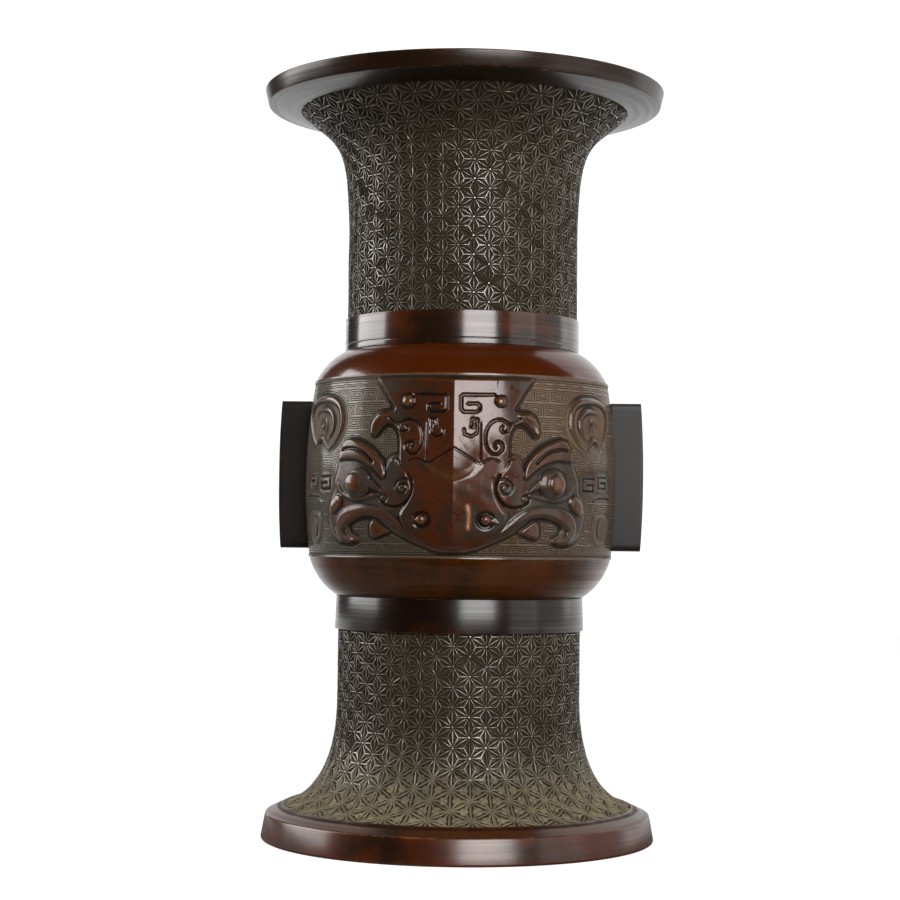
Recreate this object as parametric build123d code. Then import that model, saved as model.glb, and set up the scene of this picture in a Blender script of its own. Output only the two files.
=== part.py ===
from build123d import *
import os
from math import cos, radians, sin, sqrt

# Cast and turned bronze beaker vase with a flared mouth, a masked drum, side flanges and a flared foot.
# Millimetres. The origin is the centre of the standing plane, +Z is up and the front mask faces -Y.

# Heights of the sections, stacked from the table up
RING_FACE_H = 10.2
RING_BEVEL_H = 3.4
FOOT_H = 69.6
LOWER_COLLAR_H = 13.2
LOWER_SHOULDER_H = 15.3
DRUM_H = 70.0
SHOULDER_H = 12.3
UPPER_COLLAR_H = 13.1
NECK_H = 84.0
RIM_UNDERSIDE_RISE = 2.4
RIM_FACE_H = 6.5

# Radii of the two tubes, and the steps outward from them
NECK_R = 45.9
NECK_FLARE = 20.0
RIM_OVERHANG = 13.3
RIM_LEAN = 1.7
FOOT_WAIST_R = 48.2
FOOT_FLARE = 20.9
RING_BEVEL_W = 7.5
RING_LEAN = 2.0
BULB_STEP = 16.4

# Flare curves: the height of the curve, the pull of its two handles and its slope at the edge
NECK_FLARE_H = 51.0
NECK_FLARE_LIFT = 43.0
NECK_FLARE_RUN = 17.9
NECK_FLARE_SLOPE = 43.0
FOOT_FLARE_H = 41.3
FOOT_FLARE_DROP = 23.8
FOOT_FLARE_RUN = 12.6
FOOT_FLARE_SLOPE = 14.0

# Walls, joints and edges
WALL = 3.0
DRUM_WALL = 3.6
SOLDER_GAP = 0.1
SPIGOT_H = 5.0
SPIGOT_WALL = 1.4
NECK_EDGE_H = 2.3
NECK_EDGE_W = 3.9
FOOT_EDGE_H = 4.0
FOOT_EDGE_W = 4.6
RIM_LIP = 0.4
RING_LIP = 0.6
RIM_TOP_W = 5.2
RIM_TOP_DISH = 1.2
RIM_EASE = 0.5
RING_EASE = 0.7
STAND_W = 8.4
PLATE_T = 2.5
PLATE_RECESS = 3.0
PLATE_CHAMFER = 0.4

# Collars and shoulders
UPPER_COLLAR_WALL = 1.2
LOWER_COLLAR_WALL = 1.1
LOWER_COLLAR_SPREAD = 0.5
COLLAR_EASE = 0.3
COLLAR_GROOVE_D = 0.4
COLLAR_GROOVE_H = 2.6
SHOULDER_CROWN = 1.5
LOWER_SHOULDER_CROWN = 1.4

# Drum: a barrel, widest at its belly, with a bead along each edge of the mask band
DRUM_CURVE_R = 231.5
DRUM_BELLY_H = 29.0
DRUM_BEAD_H = 1.3
DRUM_BEAD_PROUD = 0.5

# Side flanges and the pegs that hold them
FLANGE_T = 8.0
FLANGE_PROUD = 11.0
FLANGE_CROWN = 1.1
FLANGE_TOP_MARGIN = 7.5
FLANGE_BOTTOM_MARGIN = 3.3
FLANGE_EASE = 0.7
MORTISE_DEPTH = 1.0
PEG_R = 1.6
PEG_GRIP = 6.0
PEG_MARGIN = 12.0
HOLE_RUNOUT = 20.0

# Mask relief: heights above the drum's ground, and how deep each motif roots in the wall
FACE_RELIEF = 1.7
FOREHEAD_RELIEF = 3.4
SNOUT_RELIEF = 3.0
BROW_RELIEF = 2.1
EAR_RELIEF = 1.6
CHEEK_RELIEF = 2.3
JAW_RELIEF = 1.9
HOOK_RELIEF = 1.5
SOCKET_RELIEF = 0.9
RELIEF_ROOT = 1.2
# Round bosses of the mask: their radii, and how far each stands off the motif that carries it
EYE_R = 4.3
EYE_PROUD = 2.7
NOSTRIL_R = 2.4
NOSTRIL_PROUD = 0.9
HORN_BOSS_R = 2.4
HORN_BOSS_PROUD = 1.6
BOSS_TAPER = 0.7
# The mask is drawn on a grid of this many units over the band's height
MASK_GRID = 70.0

# Levels of the seams
ring_arris_z = RING_FACE_H
foot_seam_z = ring_arris_z + RING_BEVEL_H
lower_collar_z = foot_seam_z + FOOT_H
lower_shoulder_z = lower_collar_z + LOWER_COLLAR_H
drum_z = lower_shoulder_z + LOWER_SHOULDER_H
drum_top_z = drum_z + DRUM_H
upper_collar_z = drum_top_z + SHOULDER_H
neck_z = upper_collar_z + UPPER_COLLAR_H
rim_seam_z = neck_z + NECK_H
rim_arris_z = rim_seam_z + RIM_UNDERSIDE_RISE
rim_top_z = rim_arris_z + RIM_FACE_H
lower_joint_z = lower_collar_z + LOWER_COLLAR_H / 2
upper_joint_z = upper_collar_z + UPPER_COLLAR_H / 2

# Radii that follow
neck_edge_r = NECK_R + NECK_FLARE
neck_bore_r = NECK_R - WALL
foot_edge_r = FOOT_WAIST_R + FOOT_FLARE
foot_bore_r = FOOT_WAIST_R - WALL
ring_arris_r = foot_edge_r + RING_BEVEL_W
ring_r = ring_arris_r + RING_LEAN
plate_seat_r = ring_r - STAND_W
upper_collar_r = NECK_R + SOLDER_GAP + UPPER_COLLAR_WALL
lower_collar_r = FOOT_WAIST_R + SOLDER_GAP + LOWER_COLLAR_WALL
belly_r = NECK_R + BULB_STEP
belly_z = drum_z + DRUM_BELLY_H
mask_unit = DRUM_H / MASK_GRID


def barrel_r(z, offset=0.0):
    """Radius of the drum's ground at a level, or of a surface parallel to it."""
    curve = DRUM_CURVE_R + offset
    return belly_r - DRUM_CURVE_R + sqrt(curve ** 2 - (z - belly_z) ** 2)


def lathe(*lines):
    """Solid of revolution of a closed half section, drawn as (radius, height)."""
    return revolve(Plane.XZ * make_face(Curve() + list(lines)), Axis.Z)


def circles_beyond(solid, radius):
    """Circular edges of a turned solid that are larger than a radius."""
    return [edge for edge in solid.edges().filter_by(GeomType.CIRCLE) if edge.radius > radius]


def barrel_arc(z_from, z_to, offset=0.0):
    """Arc of the drum's section between two levels."""
    z_mid = (z_from + z_to) / 2
    return ThreePointArc(
        (barrel_r(z_from, offset), z_from), (barrel_r(z_mid, offset), z_mid), (barrel_r(z_to, offset), z_to)
    )


def flare(tube_r, tube_z, edge_r, edge_z, pull, run, slope):
    """Trumpet curve from a straight tube to a flared edge, with handles pull and run."""
    way = 1 if edge_z > tube_z else -1
    lean = radians(slope)
    return Bezier(
        (tube_r, tube_z),
        (tube_r, tube_z + way * pull),
        (edge_r - run * cos(lean), edge_z - way * run * sin(lean)),
        (edge_r, edge_z),
    )


def make_foot_ring():
    """Bevelled standing ring with a ledge for the foot's edge above and a rebate for the base plate below."""
    seat_r = foot_edge_r + SOLDER_GAP
    seat_z = foot_seam_z - RING_LIP - FOOT_EDGE_H
    ledge_r = foot_edge_r - FOOT_EDGE_W
    ledge_z = PLATE_RECESS + PLATE_T
    ring = lathe(
        Polyline(
            (plate_seat_r, 0),
            (ring_r, 0),
            (ring_arris_r, ring_arris_z),
            (seat_r, foot_seam_z),
            (seat_r, seat_z),
            (ledge_r, seat_z),
            (ledge_r, ledge_z),
            (plate_seat_r, ledge_z),
            close=True,
        )
    )
    return chamfer(circles_beyond(ring, ring_arris_r - RING_EASE), RING_EASE)


def make_base_plate():
    """Disc let into the underside of the foot ring."""
    plate_r = plate_seat_r - SOLDER_GAP
    disc = Cylinder(plate_r, PLATE_T, align=(Align.CENTER, Align.CENTER, Align.MIN))
    return Pos(0, 0, PLATE_RECESS) * chamfer(disc.edges(), PLATE_CHAMFER)


def make_foot():
    """Flared foot: its edge sits in the ring and its spigot enters the lower shoulder."""
    edge_z = foot_seam_z - RING_LIP
    seat_z = edge_z - FOOT_EDGE_H
    tube_z = foot_seam_z + FOOT_FLARE_H
    inner_r = foot_edge_r - FOOT_EDGE_W
    spigot_r = foot_bore_r + SPIGOT_WALL
    handles = (FOOT_FLARE_DROP, FOOT_FLARE_RUN, FOOT_FLARE_SLOPE)
    outer = flare(FOOT_WAIST_R, tube_z, foot_edge_r, edge_z, *handles)
    inner = flare(foot_bore_r, tube_z, inner_r, seat_z, *handles)
    return lathe(
        outer,
        Polyline((foot_edge_r, edge_z), (foot_edge_r, seat_z), (inner_r, seat_z)),
        inner,
        Polyline(
            (foot_bore_r, tube_z),
            (foot_bore_r, lower_joint_z + SPIGOT_H),
            (spigot_r, lower_joint_z + SPIGOT_H),
            (spigot_r, lower_joint_z),
            (FOOT_WAIST_R, lower_joint_z),
            (FOOT_WAIST_R, tube_z),
        ),
    )


def make_lower_collar():
    """Sleeve over the joint of foot and lower shoulder, spreading a little downward."""
    bore_r = FOOT_WAIST_R + SOLDER_GAP
    sleeve = lathe(
        Polyline(
            (bore_r, lower_collar_z),
            (lower_collar_r + LOWER_COLLAR_SPREAD, lower_collar_z),
            (lower_collar_r, lower_shoulder_z),
            (bore_r, lower_shoulder_z),
            close=True,
        )
    )
    return chamfer(circles_beyond(sleeve, lower_collar_r - SOLDER_GAP), COLLAR_EASE)


def make_lower_shoulder():
    """Domed shoulder under the drum: a tube down into the collar and a spigot up into the drum."""
    edge_r = barrel_r(drum_z)
    tube_bore_r = foot_bore_r + SPIGOT_WALL + SOLDER_GAP
    plug_r = barrel_r(drum_z, -DRUM_WALL) - SOLDER_GAP
    plug_bore_r = plug_r - SPIGOT_WALL
    dome = SagittaArc((edge_r, drum_z), (lower_collar_r, lower_shoulder_z), LOWER_SHOULDER_CROWN)
    return lathe(
        dome,
        Polyline(
            (lower_collar_r, lower_shoulder_z),
            (FOOT_WAIST_R, lower_shoulder_z),
            (FOOT_WAIST_R, lower_joint_z),
            (tube_bore_r, lower_joint_z),
            (tube_bore_r, lower_shoulder_z),
            (plug_bore_r, drum_z),
            (plug_bore_r, drum_z + SPIGOT_H),
            (plug_r, drum_z + SPIGOT_H),
            (plug_r, drum_z),
            (edge_r, drum_z),
        ),
    )


def make_shoulder():
    """Domed shoulder above the drum: a spigot down into the drum and a tube up into the collar."""
    edge_r = barrel_r(drum_top_z)
    tube_bore_r = neck_bore_r + SPIGOT_WALL + SOLDER_GAP
    plug_r = barrel_r(drum_top_z, -DRUM_WALL) - SOLDER_GAP
    plug_bore_r = plug_r - SPIGOT_WALL
    dome = SagittaArc((edge_r, drum_top_z), (upper_collar_r, upper_collar_z), -SHOULDER_CROWN)
    return lathe(
        dome,
        Polyline(
            (upper_collar_r, upper_collar_z),
            (NECK_R, upper_collar_z),
            (NECK_R, upper_joint_z),
            (tube_bore_r, upper_joint_z),
            (tube_bore_r, upper_collar_z),
            (plug_bore_r, drum_top_z),
            (plug_bore_r, drum_top_z - SPIGOT_H),
            (plug_r, drum_top_z - SPIGOT_H),
            (plug_r, drum_top_z),
            (edge_r, drum_top_z),
        ),
    )


def make_upper_collar():
    """Sleeve over the joint of neck and shoulder, with a turned groove above its lower edge."""
    bore_r = NECK_R + SOLDER_GAP
    groove_z = upper_collar_z + COLLAR_GROOVE_H
    sleeve = lathe(
        Polyline(
            (bore_r, upper_collar_z),
            (upper_collar_r, upper_collar_z),
            (upper_collar_r, groove_z - COLLAR_GROOVE_D),
            (upper_collar_r - COLLAR_GROOVE_D, groove_z),
            (upper_collar_r, groove_z + COLLAR_GROOVE_D),
            (upper_collar_r, neck_z),
            (bore_r, neck_z),
            close=True,
        )
    )
    ends = sleeve.edges().filter_by(GeomType.CIRCLE).group_by(Axis.Z)
    outer_edges = [ends[0].sort_by(SortBy.RADIUS)[-1], ends[-1].sort_by(SortBy.RADIUS)[-1]]
    return chamfer(outer_edges, COLLAR_EASE)


def make_neck():
    """Trumpet neck: its spigot enters the shoulder and its edge sits in the rim ring."""
    edge_z = rim_seam_z + RIM_LIP
    seat_z = rim_seam_z + NECK_EDGE_H
    tube_z = rim_seam_z - NECK_FLARE_H
    inner_r = neck_edge_r - NECK_EDGE_W
    spigot_r = neck_bore_r + SPIGOT_WALL
    handles = (NECK_FLARE_LIFT, NECK_FLARE_RUN, NECK_FLARE_SLOPE)
    outer = flare(NECK_R, tube_z, neck_edge_r, edge_z, *handles)
    inner = flare(neck_bore_r, tube_z, inner_r, seat_z, *handles)
    return lathe(
        outer,
        Polyline((neck_edge_r, edge_z), (neck_edge_r, seat_z), (inner_r, seat_z)),
        inner,
        Polyline(
            (neck_bore_r, tube_z),
            (neck_bore_r, upper_joint_z - SPIGOT_H),
            (spigot_r, upper_joint_z - SPIGOT_H),
            (spigot_r, upper_joint_z),
            (NECK_R, upper_joint_z),
            (NECK_R, tube_z),
        ),
    )


def make_mouth_rim():
    """Turned ring round the mouth: a rebate below for the neck's edge and a dished top."""
    seat_r = neck_edge_r + SOLDER_GAP
    seat_z = rim_seam_z + NECK_EDGE_H
    mouth_r = neck_edge_r - NECK_EDGE_W
    arris_r = neck_edge_r + RIM_OVERHANG
    rim_r = arris_r + RIM_LEAN
    lip_r = rim_r - RIM_TOP_W
    throat_z = seat_z + RIM_TOP_DISH
    ring = lathe(
        Polyline(
            (mouth_r, throat_z),
            (mouth_r, seat_z),
            (seat_r, seat_z),
            (seat_r, rim_seam_z),
            (arris_r, rim_arris_z),
            (rim_r, rim_top_z),
            (lip_r, rim_top_z),
        ),
        Bezier((lip_r, rim_top_z), (lip_r - RIM_TOP_W, rim_top_z - RIM_TOP_DISH), (mouth_r, throat_z)),
    )
    return chamfer(circles_beyond(ring, arris_r - RIM_EASE), RIM_EASE)


def flange_profile(inner_x, grow=0.0):
    """Side view of a flange, from a given inner line to its slightly bowed outer edge."""
    z_low = drum_z + FLANGE_BOTTOM_MARGIN - grow
    z_high = drum_top_z - FLANGE_TOP_MARGIN + grow
    outer_x = belly_r + FLANGE_PROUD
    corner_x = outer_x - FLANGE_CROWN
    return make_face(
        Polyline((corner_x, z_high), (inner_x, z_high), (inner_x, z_low), (corner_x, z_low))
        + ThreePointArc((corner_x, z_low), (outer_x, (z_low + z_high) / 2), (corner_x, z_high))
    )


def barrel_core(offset):
    """Body of revolution inside a surface parallel to the drum's ground."""
    return lathe(
        barrel_arc(drum_z, drum_top_z, offset),
        Polyline((barrel_r(drum_top_z, offset), drum_top_z), (0, drum_top_z), (0, drum_z)),
        Line((0, drum_z), (barrel_r(drum_z, offset), drum_z)),
    )


def flange_plate(inner_x, grow=0.0):
    """Flat plate of a flange's outline, standing on the +X side."""
    return extrude(Plane.XZ * flange_profile(inner_x, grow), amount=FLANGE_T / 2 + grow, both=True)


def peg_levels():
    """Levels of the two pegs of each flange."""
    return (
        drum_z + FLANGE_BOTTOM_MARGIN + PEG_MARGIN,
        drum_top_z - FLANGE_TOP_MARGIN - PEG_MARGIN,
    )


def peg(z, clearance=0.0):
    """Round peg along +X at a level, from the drum's bore into the flange, or the hole for it."""
    start = barrel_r(z, -DRUM_WALL) - clearance * HOLE_RUNOUT
    length = DRUM_WALL + PEG_GRIP + clearance * (HOLE_RUNOUT + 1)
    rod = Cylinder(PEG_R + clearance, length, align=(Align.CENTER, Align.CENTER, Align.MIN))
    return Pos(start, 0, z) * Rot(0, 90, 0) * rod


def make_right_flange():
    """Plain flange on the +X side, hollowed to the drum and drilled for its pegs."""
    plate = flange_plate(belly_r - DRUM_WALL)
    outer_edges = plate.edges().filter_by(lambda edge: edge.center().X > belly_r)
    flange = chamfer(outer_edges, FLANGE_EASE) - barrel_core(SOLDER_GAP - MORTISE_DEPTH)
    for z in peg_levels():
        flange -= peg(z, SOLDER_GAP)
    return flange


def make_pegs():
    """Plain pegs, two to each flange, that pin it to the wall of the drum."""
    right = [peg(z) for z in peg_levels()]
    return Part() + right + [mirror(piece, about=Plane.YZ) for piece in right]


def on_drum(centre, points):
    """Points of the unrolled mask drawing, as seen square-on from over the line at centre."""
    return [
        (belly_r * sin((s - centre) * mask_unit / belly_r), drum_z + h * mask_unit) for s, h in points
    ]


def raised(centre, face, relief):
    """Motif pushed out of the drum over a line of the mask, up to a relief height."""
    turn = centre * mask_unit / belly_r
    facing = Plane(origin=(0, 0, 0), x_dir=(cos(turn), sin(turn), 0), z_dir=(sin(turn), -cos(turn), 0))
    return extrude(facing * face, amount=belly_r + FOREHEAD_RELIEF) & relief_shell(relief)


def relief_shell(relief):
    """Skin of the mask band from a motif's root up to a relief height."""
    z_low = drum_z + DRUM_BEAD_H
    z_high = drum_top_z - DRUM_BEAD_H
    return lathe(
        barrel_arc(z_low, z_high, relief),
        Line((barrel_r(z_high, relief), z_high), (barrel_r(z_high, -RELIEF_ROOT), z_high)),
        barrel_arc(z_high, z_low, -RELIEF_ROOT),
        Line((barrel_r(z_low, -RELIEF_ROOT), z_low), (barrel_r(z_low, relief), z_low)),
    )


def outline(centre, *runs):
    """Closed outline of a motif: a run of two points is a line and a run of three is an arc."""
    curves = Curve()
    for run in runs:
        points = on_drum(centre, run)
        curves += Line(*points) if len(points) == 2 else ThreePointArc(*points)
    return make_face(curves)


def symmetric(*runs):
    """Closed outline that crosses the mask's centre line, drawn from its +X half."""
    half = outline(0, *runs)
    return half + mirror(half, about=Plane.YZ)


def boss(s, h, radius, ground, proud):
    """Round boss of the mask: a tapered stud that roots in the wall under the motif it stands on."""
    turn = s * mask_unit / belly_r
    z = drum_z + h * mask_unit
    root = barrel_r(z) - RELIEF_ROOT
    height = RELIEF_ROOT + ground + proud
    stud = Cone(radius, radius * BOSS_TAPER, height, align=(Align.CENTER, Align.CENTER, Align.MIN))
    return Plane(origin=(root * sin(turn), -root * cos(turn), z), z_dir=(sin(turn), -cos(turn), 0)) * stud


def gable(level, half_width, crest):
    """Horizontal section of the forehead: two facets that meet in a ridge on the mask's centre line."""
    z = drum_z + level * mask_unit
    ground = barrel_r(z)
    side_y = -sqrt(ground ** 2 - half_width ** 2)
    return Pos(0, 0, z) * make_face(
        Polyline(
            (0, -ground - crest),
            (half_width, side_y - FACE_RELIEF),
            (half_width, side_y + RELIEF_ROOT),
            (-half_width, side_y + RELIEF_ROOT),
            (-half_width, side_y - FACE_RELIEF),
            close=True,
        )
    )


def central_motifs():
    """Motifs that cross the mask's centre line: crested face with horns, snout and ridged forehead."""
    face = symmetric(
        [(0, 68), (32.6, 68)],
        [(32.6, 68), (23.6, 56.5)],
        [(23.6, 56.5), (30.2, 53), (33.2, 47)],
        [(33.2, 47), (32.0, 46.6)],
        [(32.0, 46.6), (27.2, 50.8), (21.6, 46)],
        [(21.6, 46), (17.5, 32)],
        [(17.5, 32), (0, 32)],
        [(0, 32), (0, 68)],
    )
    snout = symmetric(
        [(0, 34), (14, 30)],
        [(14, 30), (15.4, 11)],
        [(15.4, 11), (9, 4.4), (0, 2.6)],
        [(0, 2.6), (0, 34)],
    )
    ridge = [gable(63, 15, FOREHEAD_RELIEF), gable(43, 12, FOREHEAD_RELIEF), gable(30, 2, SNOUT_RELIEF)]
    return [raised(0, face, FACE_RELIEF), raised(0, snout, SNOUT_RELIEF), loft(ridge, ruled=True)]


def side_motifs():
    """Motifs on the +X side of the mask, in layers: the eye socket, the motifs about it, then the jaw."""
    socket = outline(
        40,
        [(24.0, 21.6), (24.4, 26.4)],
        [(24.4, 26.4), (27.6, 32.6)],
        [(27.6, 32.6), (38.0, 38.2), (49.0, 39.6)],
        [(49.0, 39.6), (53.4, 30.0), (54.4, 19.6)],
        [(54.4, 19.6), (31.2, 17.4)],
        [(31.2, 17.4), (24.0, 21.6)],
    )
    cheek = outline(
        20,
        [(14.5, 26.5), (19.5, 32.4), (25.2, 26)],
        [(25.2, 26), (25.5, 20.6)],
        [(25.5, 20.6), (18.0, 21.2), (14.5, 26.5)],
    )
    brow = outline(
        39,
        [(26.8, 31.1), (35.1, 42.0), (50.0, 43.9)],
        [(50.0, 43.9), (50.2, 37.0)],
        [(50.2, 37.0), (38.0, 36.0), (26.8, 31.1)],
    )
    ear = outline(
        64,
        [(59.6, 40.8), (48.4, 50.5), (51.4, 60.8)],
        [(51.4, 60.8), (64, 63.0)],
        [(64, 63.0), (76, 60.8)],
        [(76, 60.8), (79.4, 52), (69.8, 42.9)],
        [(69.8, 42.9), (64.2, 46.6)],
        [(64.2, 46.6), (59.6, 40.8)],
    )
    hook = outline(
        46,
        [(30.8, 18.6), (56.5, 20.8)],
        [(56.5, 20.8), (57.2, 11.0), (48, 5.6)],
        [(48, 5.6), (40.6, 6.0)],
        [(40.6, 6.0), (40.8, 7.4)],
        [(40.8, 7.4), (46.6, 12.2), (40.8, 17)],
        [(40.8, 17), (30.8, 16.2)],
        [(30.8, 16.2), (30.8, 18.6)],
    )
    jaw = outline(
        24,
        [(15, 7.6), (24, 15.2)],
        [(24, 15.2), (32, 19.2)],
        [(32, 19.2), (31.2, 15.8)],
        [(31.2, 15.8), (24, 12.2)],
        [(24, 12.2), (17.6, 6.6)],
        [(17.6, 6.6), (15, 7.6)],
    )
    around = [
        raised(20, cheek, CHEEK_RELIEF),
        raised(39, brow, BROW_RELIEF),
        raised(64, ear, EAR_RELIEF),
        raised(46, hook, HOOK_RELIEF),
        boss(39.8, 28.4, EYE_R, SOCKET_RELIEF, EYE_PROUD),
        boss(11.9, 14.6, NOSTRIL_R, SNOUT_RELIEF, NOSTRIL_PROUD),
        boss(17.6, 59.3, HORN_BOSS_R, FACE_RELIEF, HORN_BOSS_PROUD),
    ]
    return [raised(40, socket, SOCKET_RELIEF)], around, [raised(24, jaw, JAW_RELIEF)]


def mask_layers():
    """Relief of both masks, in layers of pieces that don't overlap one another."""
    layers = [[piece] for piece in central_motifs()]
    for side in side_motifs():
        layers.append(side + [mirror(piece, about=Plane.YZ) for piece in side])
    return [layer + [Rot(0, 0, 180) * piece for piece in layer] for layer in layers]


def make_drum():
    """Barrel with beaded edges, a mask front and back, and a mortise for each flange."""
    bead = DRUM_BEAD_PROUD
    z_low = drum_z + DRUM_BEAD_H
    z_high = drum_top_z - DRUM_BEAD_H
    drum = lathe(
        barrel_arc(z_low, z_high),
        Polyline(
            (barrel_r(z_high), z_high),
            (barrel_r(z_high) + bead, z_high),
            (barrel_r(drum_top_z) + bead, drum_top_z),
            (barrel_r(drum_top_z, -DRUM_WALL), drum_top_z),
        ),
        barrel_arc(drum_top_z, drum_z, -DRUM_WALL),
        Polyline(
            (barrel_r(drum_z, -DRUM_WALL), drum_z),
            (barrel_r(drum_z) + bead, drum_z),
            (barrel_r(z_low) + bead, z_low),
            (barrel_r(z_low), z_low),
        ),
    )
    for layer in mask_layers():
        drum += layer
    mortise = flange_plate(belly_r - DRUM_WALL, SOLDER_GAP) - barrel_core(-MORTISE_DEPTH)
    for z in peg_levels():
        mortise += peg(z, SOLDER_GAP)
    return drum - mortise - mirror(mortise, about=Plane.YZ)


right_flange = make_right_flange()
nodes = {
    "foot_ring": make_foot_ring(),
    "base_plate": make_base_plate(),
    "foot": make_foot(),
    "lower_collar": make_lower_collar(),
    "lower_shoulder": make_lower_shoulder(),
    "mask_drum": make_drum(),
    "left_flange": mirror(right_flange, about=Plane.YZ),
    "right_flange": right_flange,
    "flange_pegs": make_pegs(),
    "shoulder": make_shoulder(),
    "upper_collar": make_upper_collar(),
    "neck": make_neck(),
    "mouth_rim": make_mouth_rim(),
}

os.makedirs("parts", exist_ok=True)
for name, shape in nodes.items():
    export_step(shape, f"parts/{name}.step")
    print(f"{name}: {shape.volume / 1000:.1f} cm3")
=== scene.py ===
"""Looks of a cast and turned bronze beaker vase: patterned neck and foot, smooth rings, a masked drum."""

import logging
import math
from dataclasses import dataclass
from enum import Enum
from typing import Any, Callable, Optional, Sequence, Union

import bmesh
import bpy
import numpy as np
from mathutils import Matrix, Vector


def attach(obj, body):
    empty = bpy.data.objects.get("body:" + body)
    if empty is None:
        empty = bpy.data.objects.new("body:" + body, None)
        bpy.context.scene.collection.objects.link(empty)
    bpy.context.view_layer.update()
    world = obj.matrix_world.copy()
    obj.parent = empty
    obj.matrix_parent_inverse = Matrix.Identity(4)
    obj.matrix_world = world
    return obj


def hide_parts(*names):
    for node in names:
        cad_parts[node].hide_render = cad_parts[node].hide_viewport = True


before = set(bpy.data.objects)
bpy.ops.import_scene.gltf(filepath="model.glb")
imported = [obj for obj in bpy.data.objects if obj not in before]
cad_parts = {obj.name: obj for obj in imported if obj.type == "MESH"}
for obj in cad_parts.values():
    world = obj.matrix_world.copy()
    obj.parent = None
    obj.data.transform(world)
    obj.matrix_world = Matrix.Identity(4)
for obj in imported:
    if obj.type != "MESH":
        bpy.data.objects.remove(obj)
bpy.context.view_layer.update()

MM = 0.001
FULL_TURN = 2 * math.pi
LOG = logging.getLogger("vase")

# Distance from line to line of the fret on the drum's ground, in millimetres.
FRET_PITCH = 0.74

# Places of the colour sockets on a Mix node.
MIX_SHARE, MIX_FIRST, MIX_SECOND, MIX_RESULT = 0, 6, 7, 2

Array = np.ndarray
Point = tuple[float, float]
Points = Sequence[Point]
Colour = tuple[float, float, float]
Surface = Callable[[Array, Array], Array]
Level = Union[float, Surface]
Value = Union["Sock", float, Sequence[float]]
Sockets = dict[Union[str, int], Value]


class Attr(str, Enum):
    """Values painted on the vertices of the pieces."""

    WEAR = "wear"
    # Rubbed bareness of the diaper, below zero where its nooks take painted shade.
    CREST_AND_SHADE = "crest"
    RISE = "rise"
    # Painted shade in the drum's hollows and beside its flanges.
    HOLLOW_SHADE = "hollow"
    FRET = "fret"
    LINES = "lines"
    SMOOTH = "smooth_ground"
    MATT = "matt"


class Slot(str, Enum):
    """Material slots of the vase's finishes."""

    TURNED = "turned_bronze"
    DIAPER = "diaper_bronze"
    RELIEF = "relief_bronze"
    FLANGE = "flange_bronze"
    BASE = "base_bronze"


def forward(operation: str) -> Callable[["Sock", Value], "Sock"]:
    """Operator method for a socket on the left of the sign."""
    return lambda self, other: self.paint.math(operation, self, other)


def reflected(operation: str) -> Callable[["Sock", Value], "Sock"]:
    """Operator method for a socket on the right of the sign."""
    return lambda self, other: self.paint.math(operation, other, self)


class Sock:
    """Output of a shader node that can be used in a Python expression."""

    __add__, __radd__ = forward("ADD"), reflected("ADD")
    __sub__, __rsub__ = forward("SUBTRACT"), reflected("SUBTRACT")
    __mul__, __rmul__ = forward("MULTIPLY"), reflected("MULTIPLY")

    def __init__(self, paint: "Paint", socket: Optional[bpy.types.NodeSocket]) -> None:
        """Keeps the socket and the material that it belongs to."""
        self.paint = paint
        self.socket = socket


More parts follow.
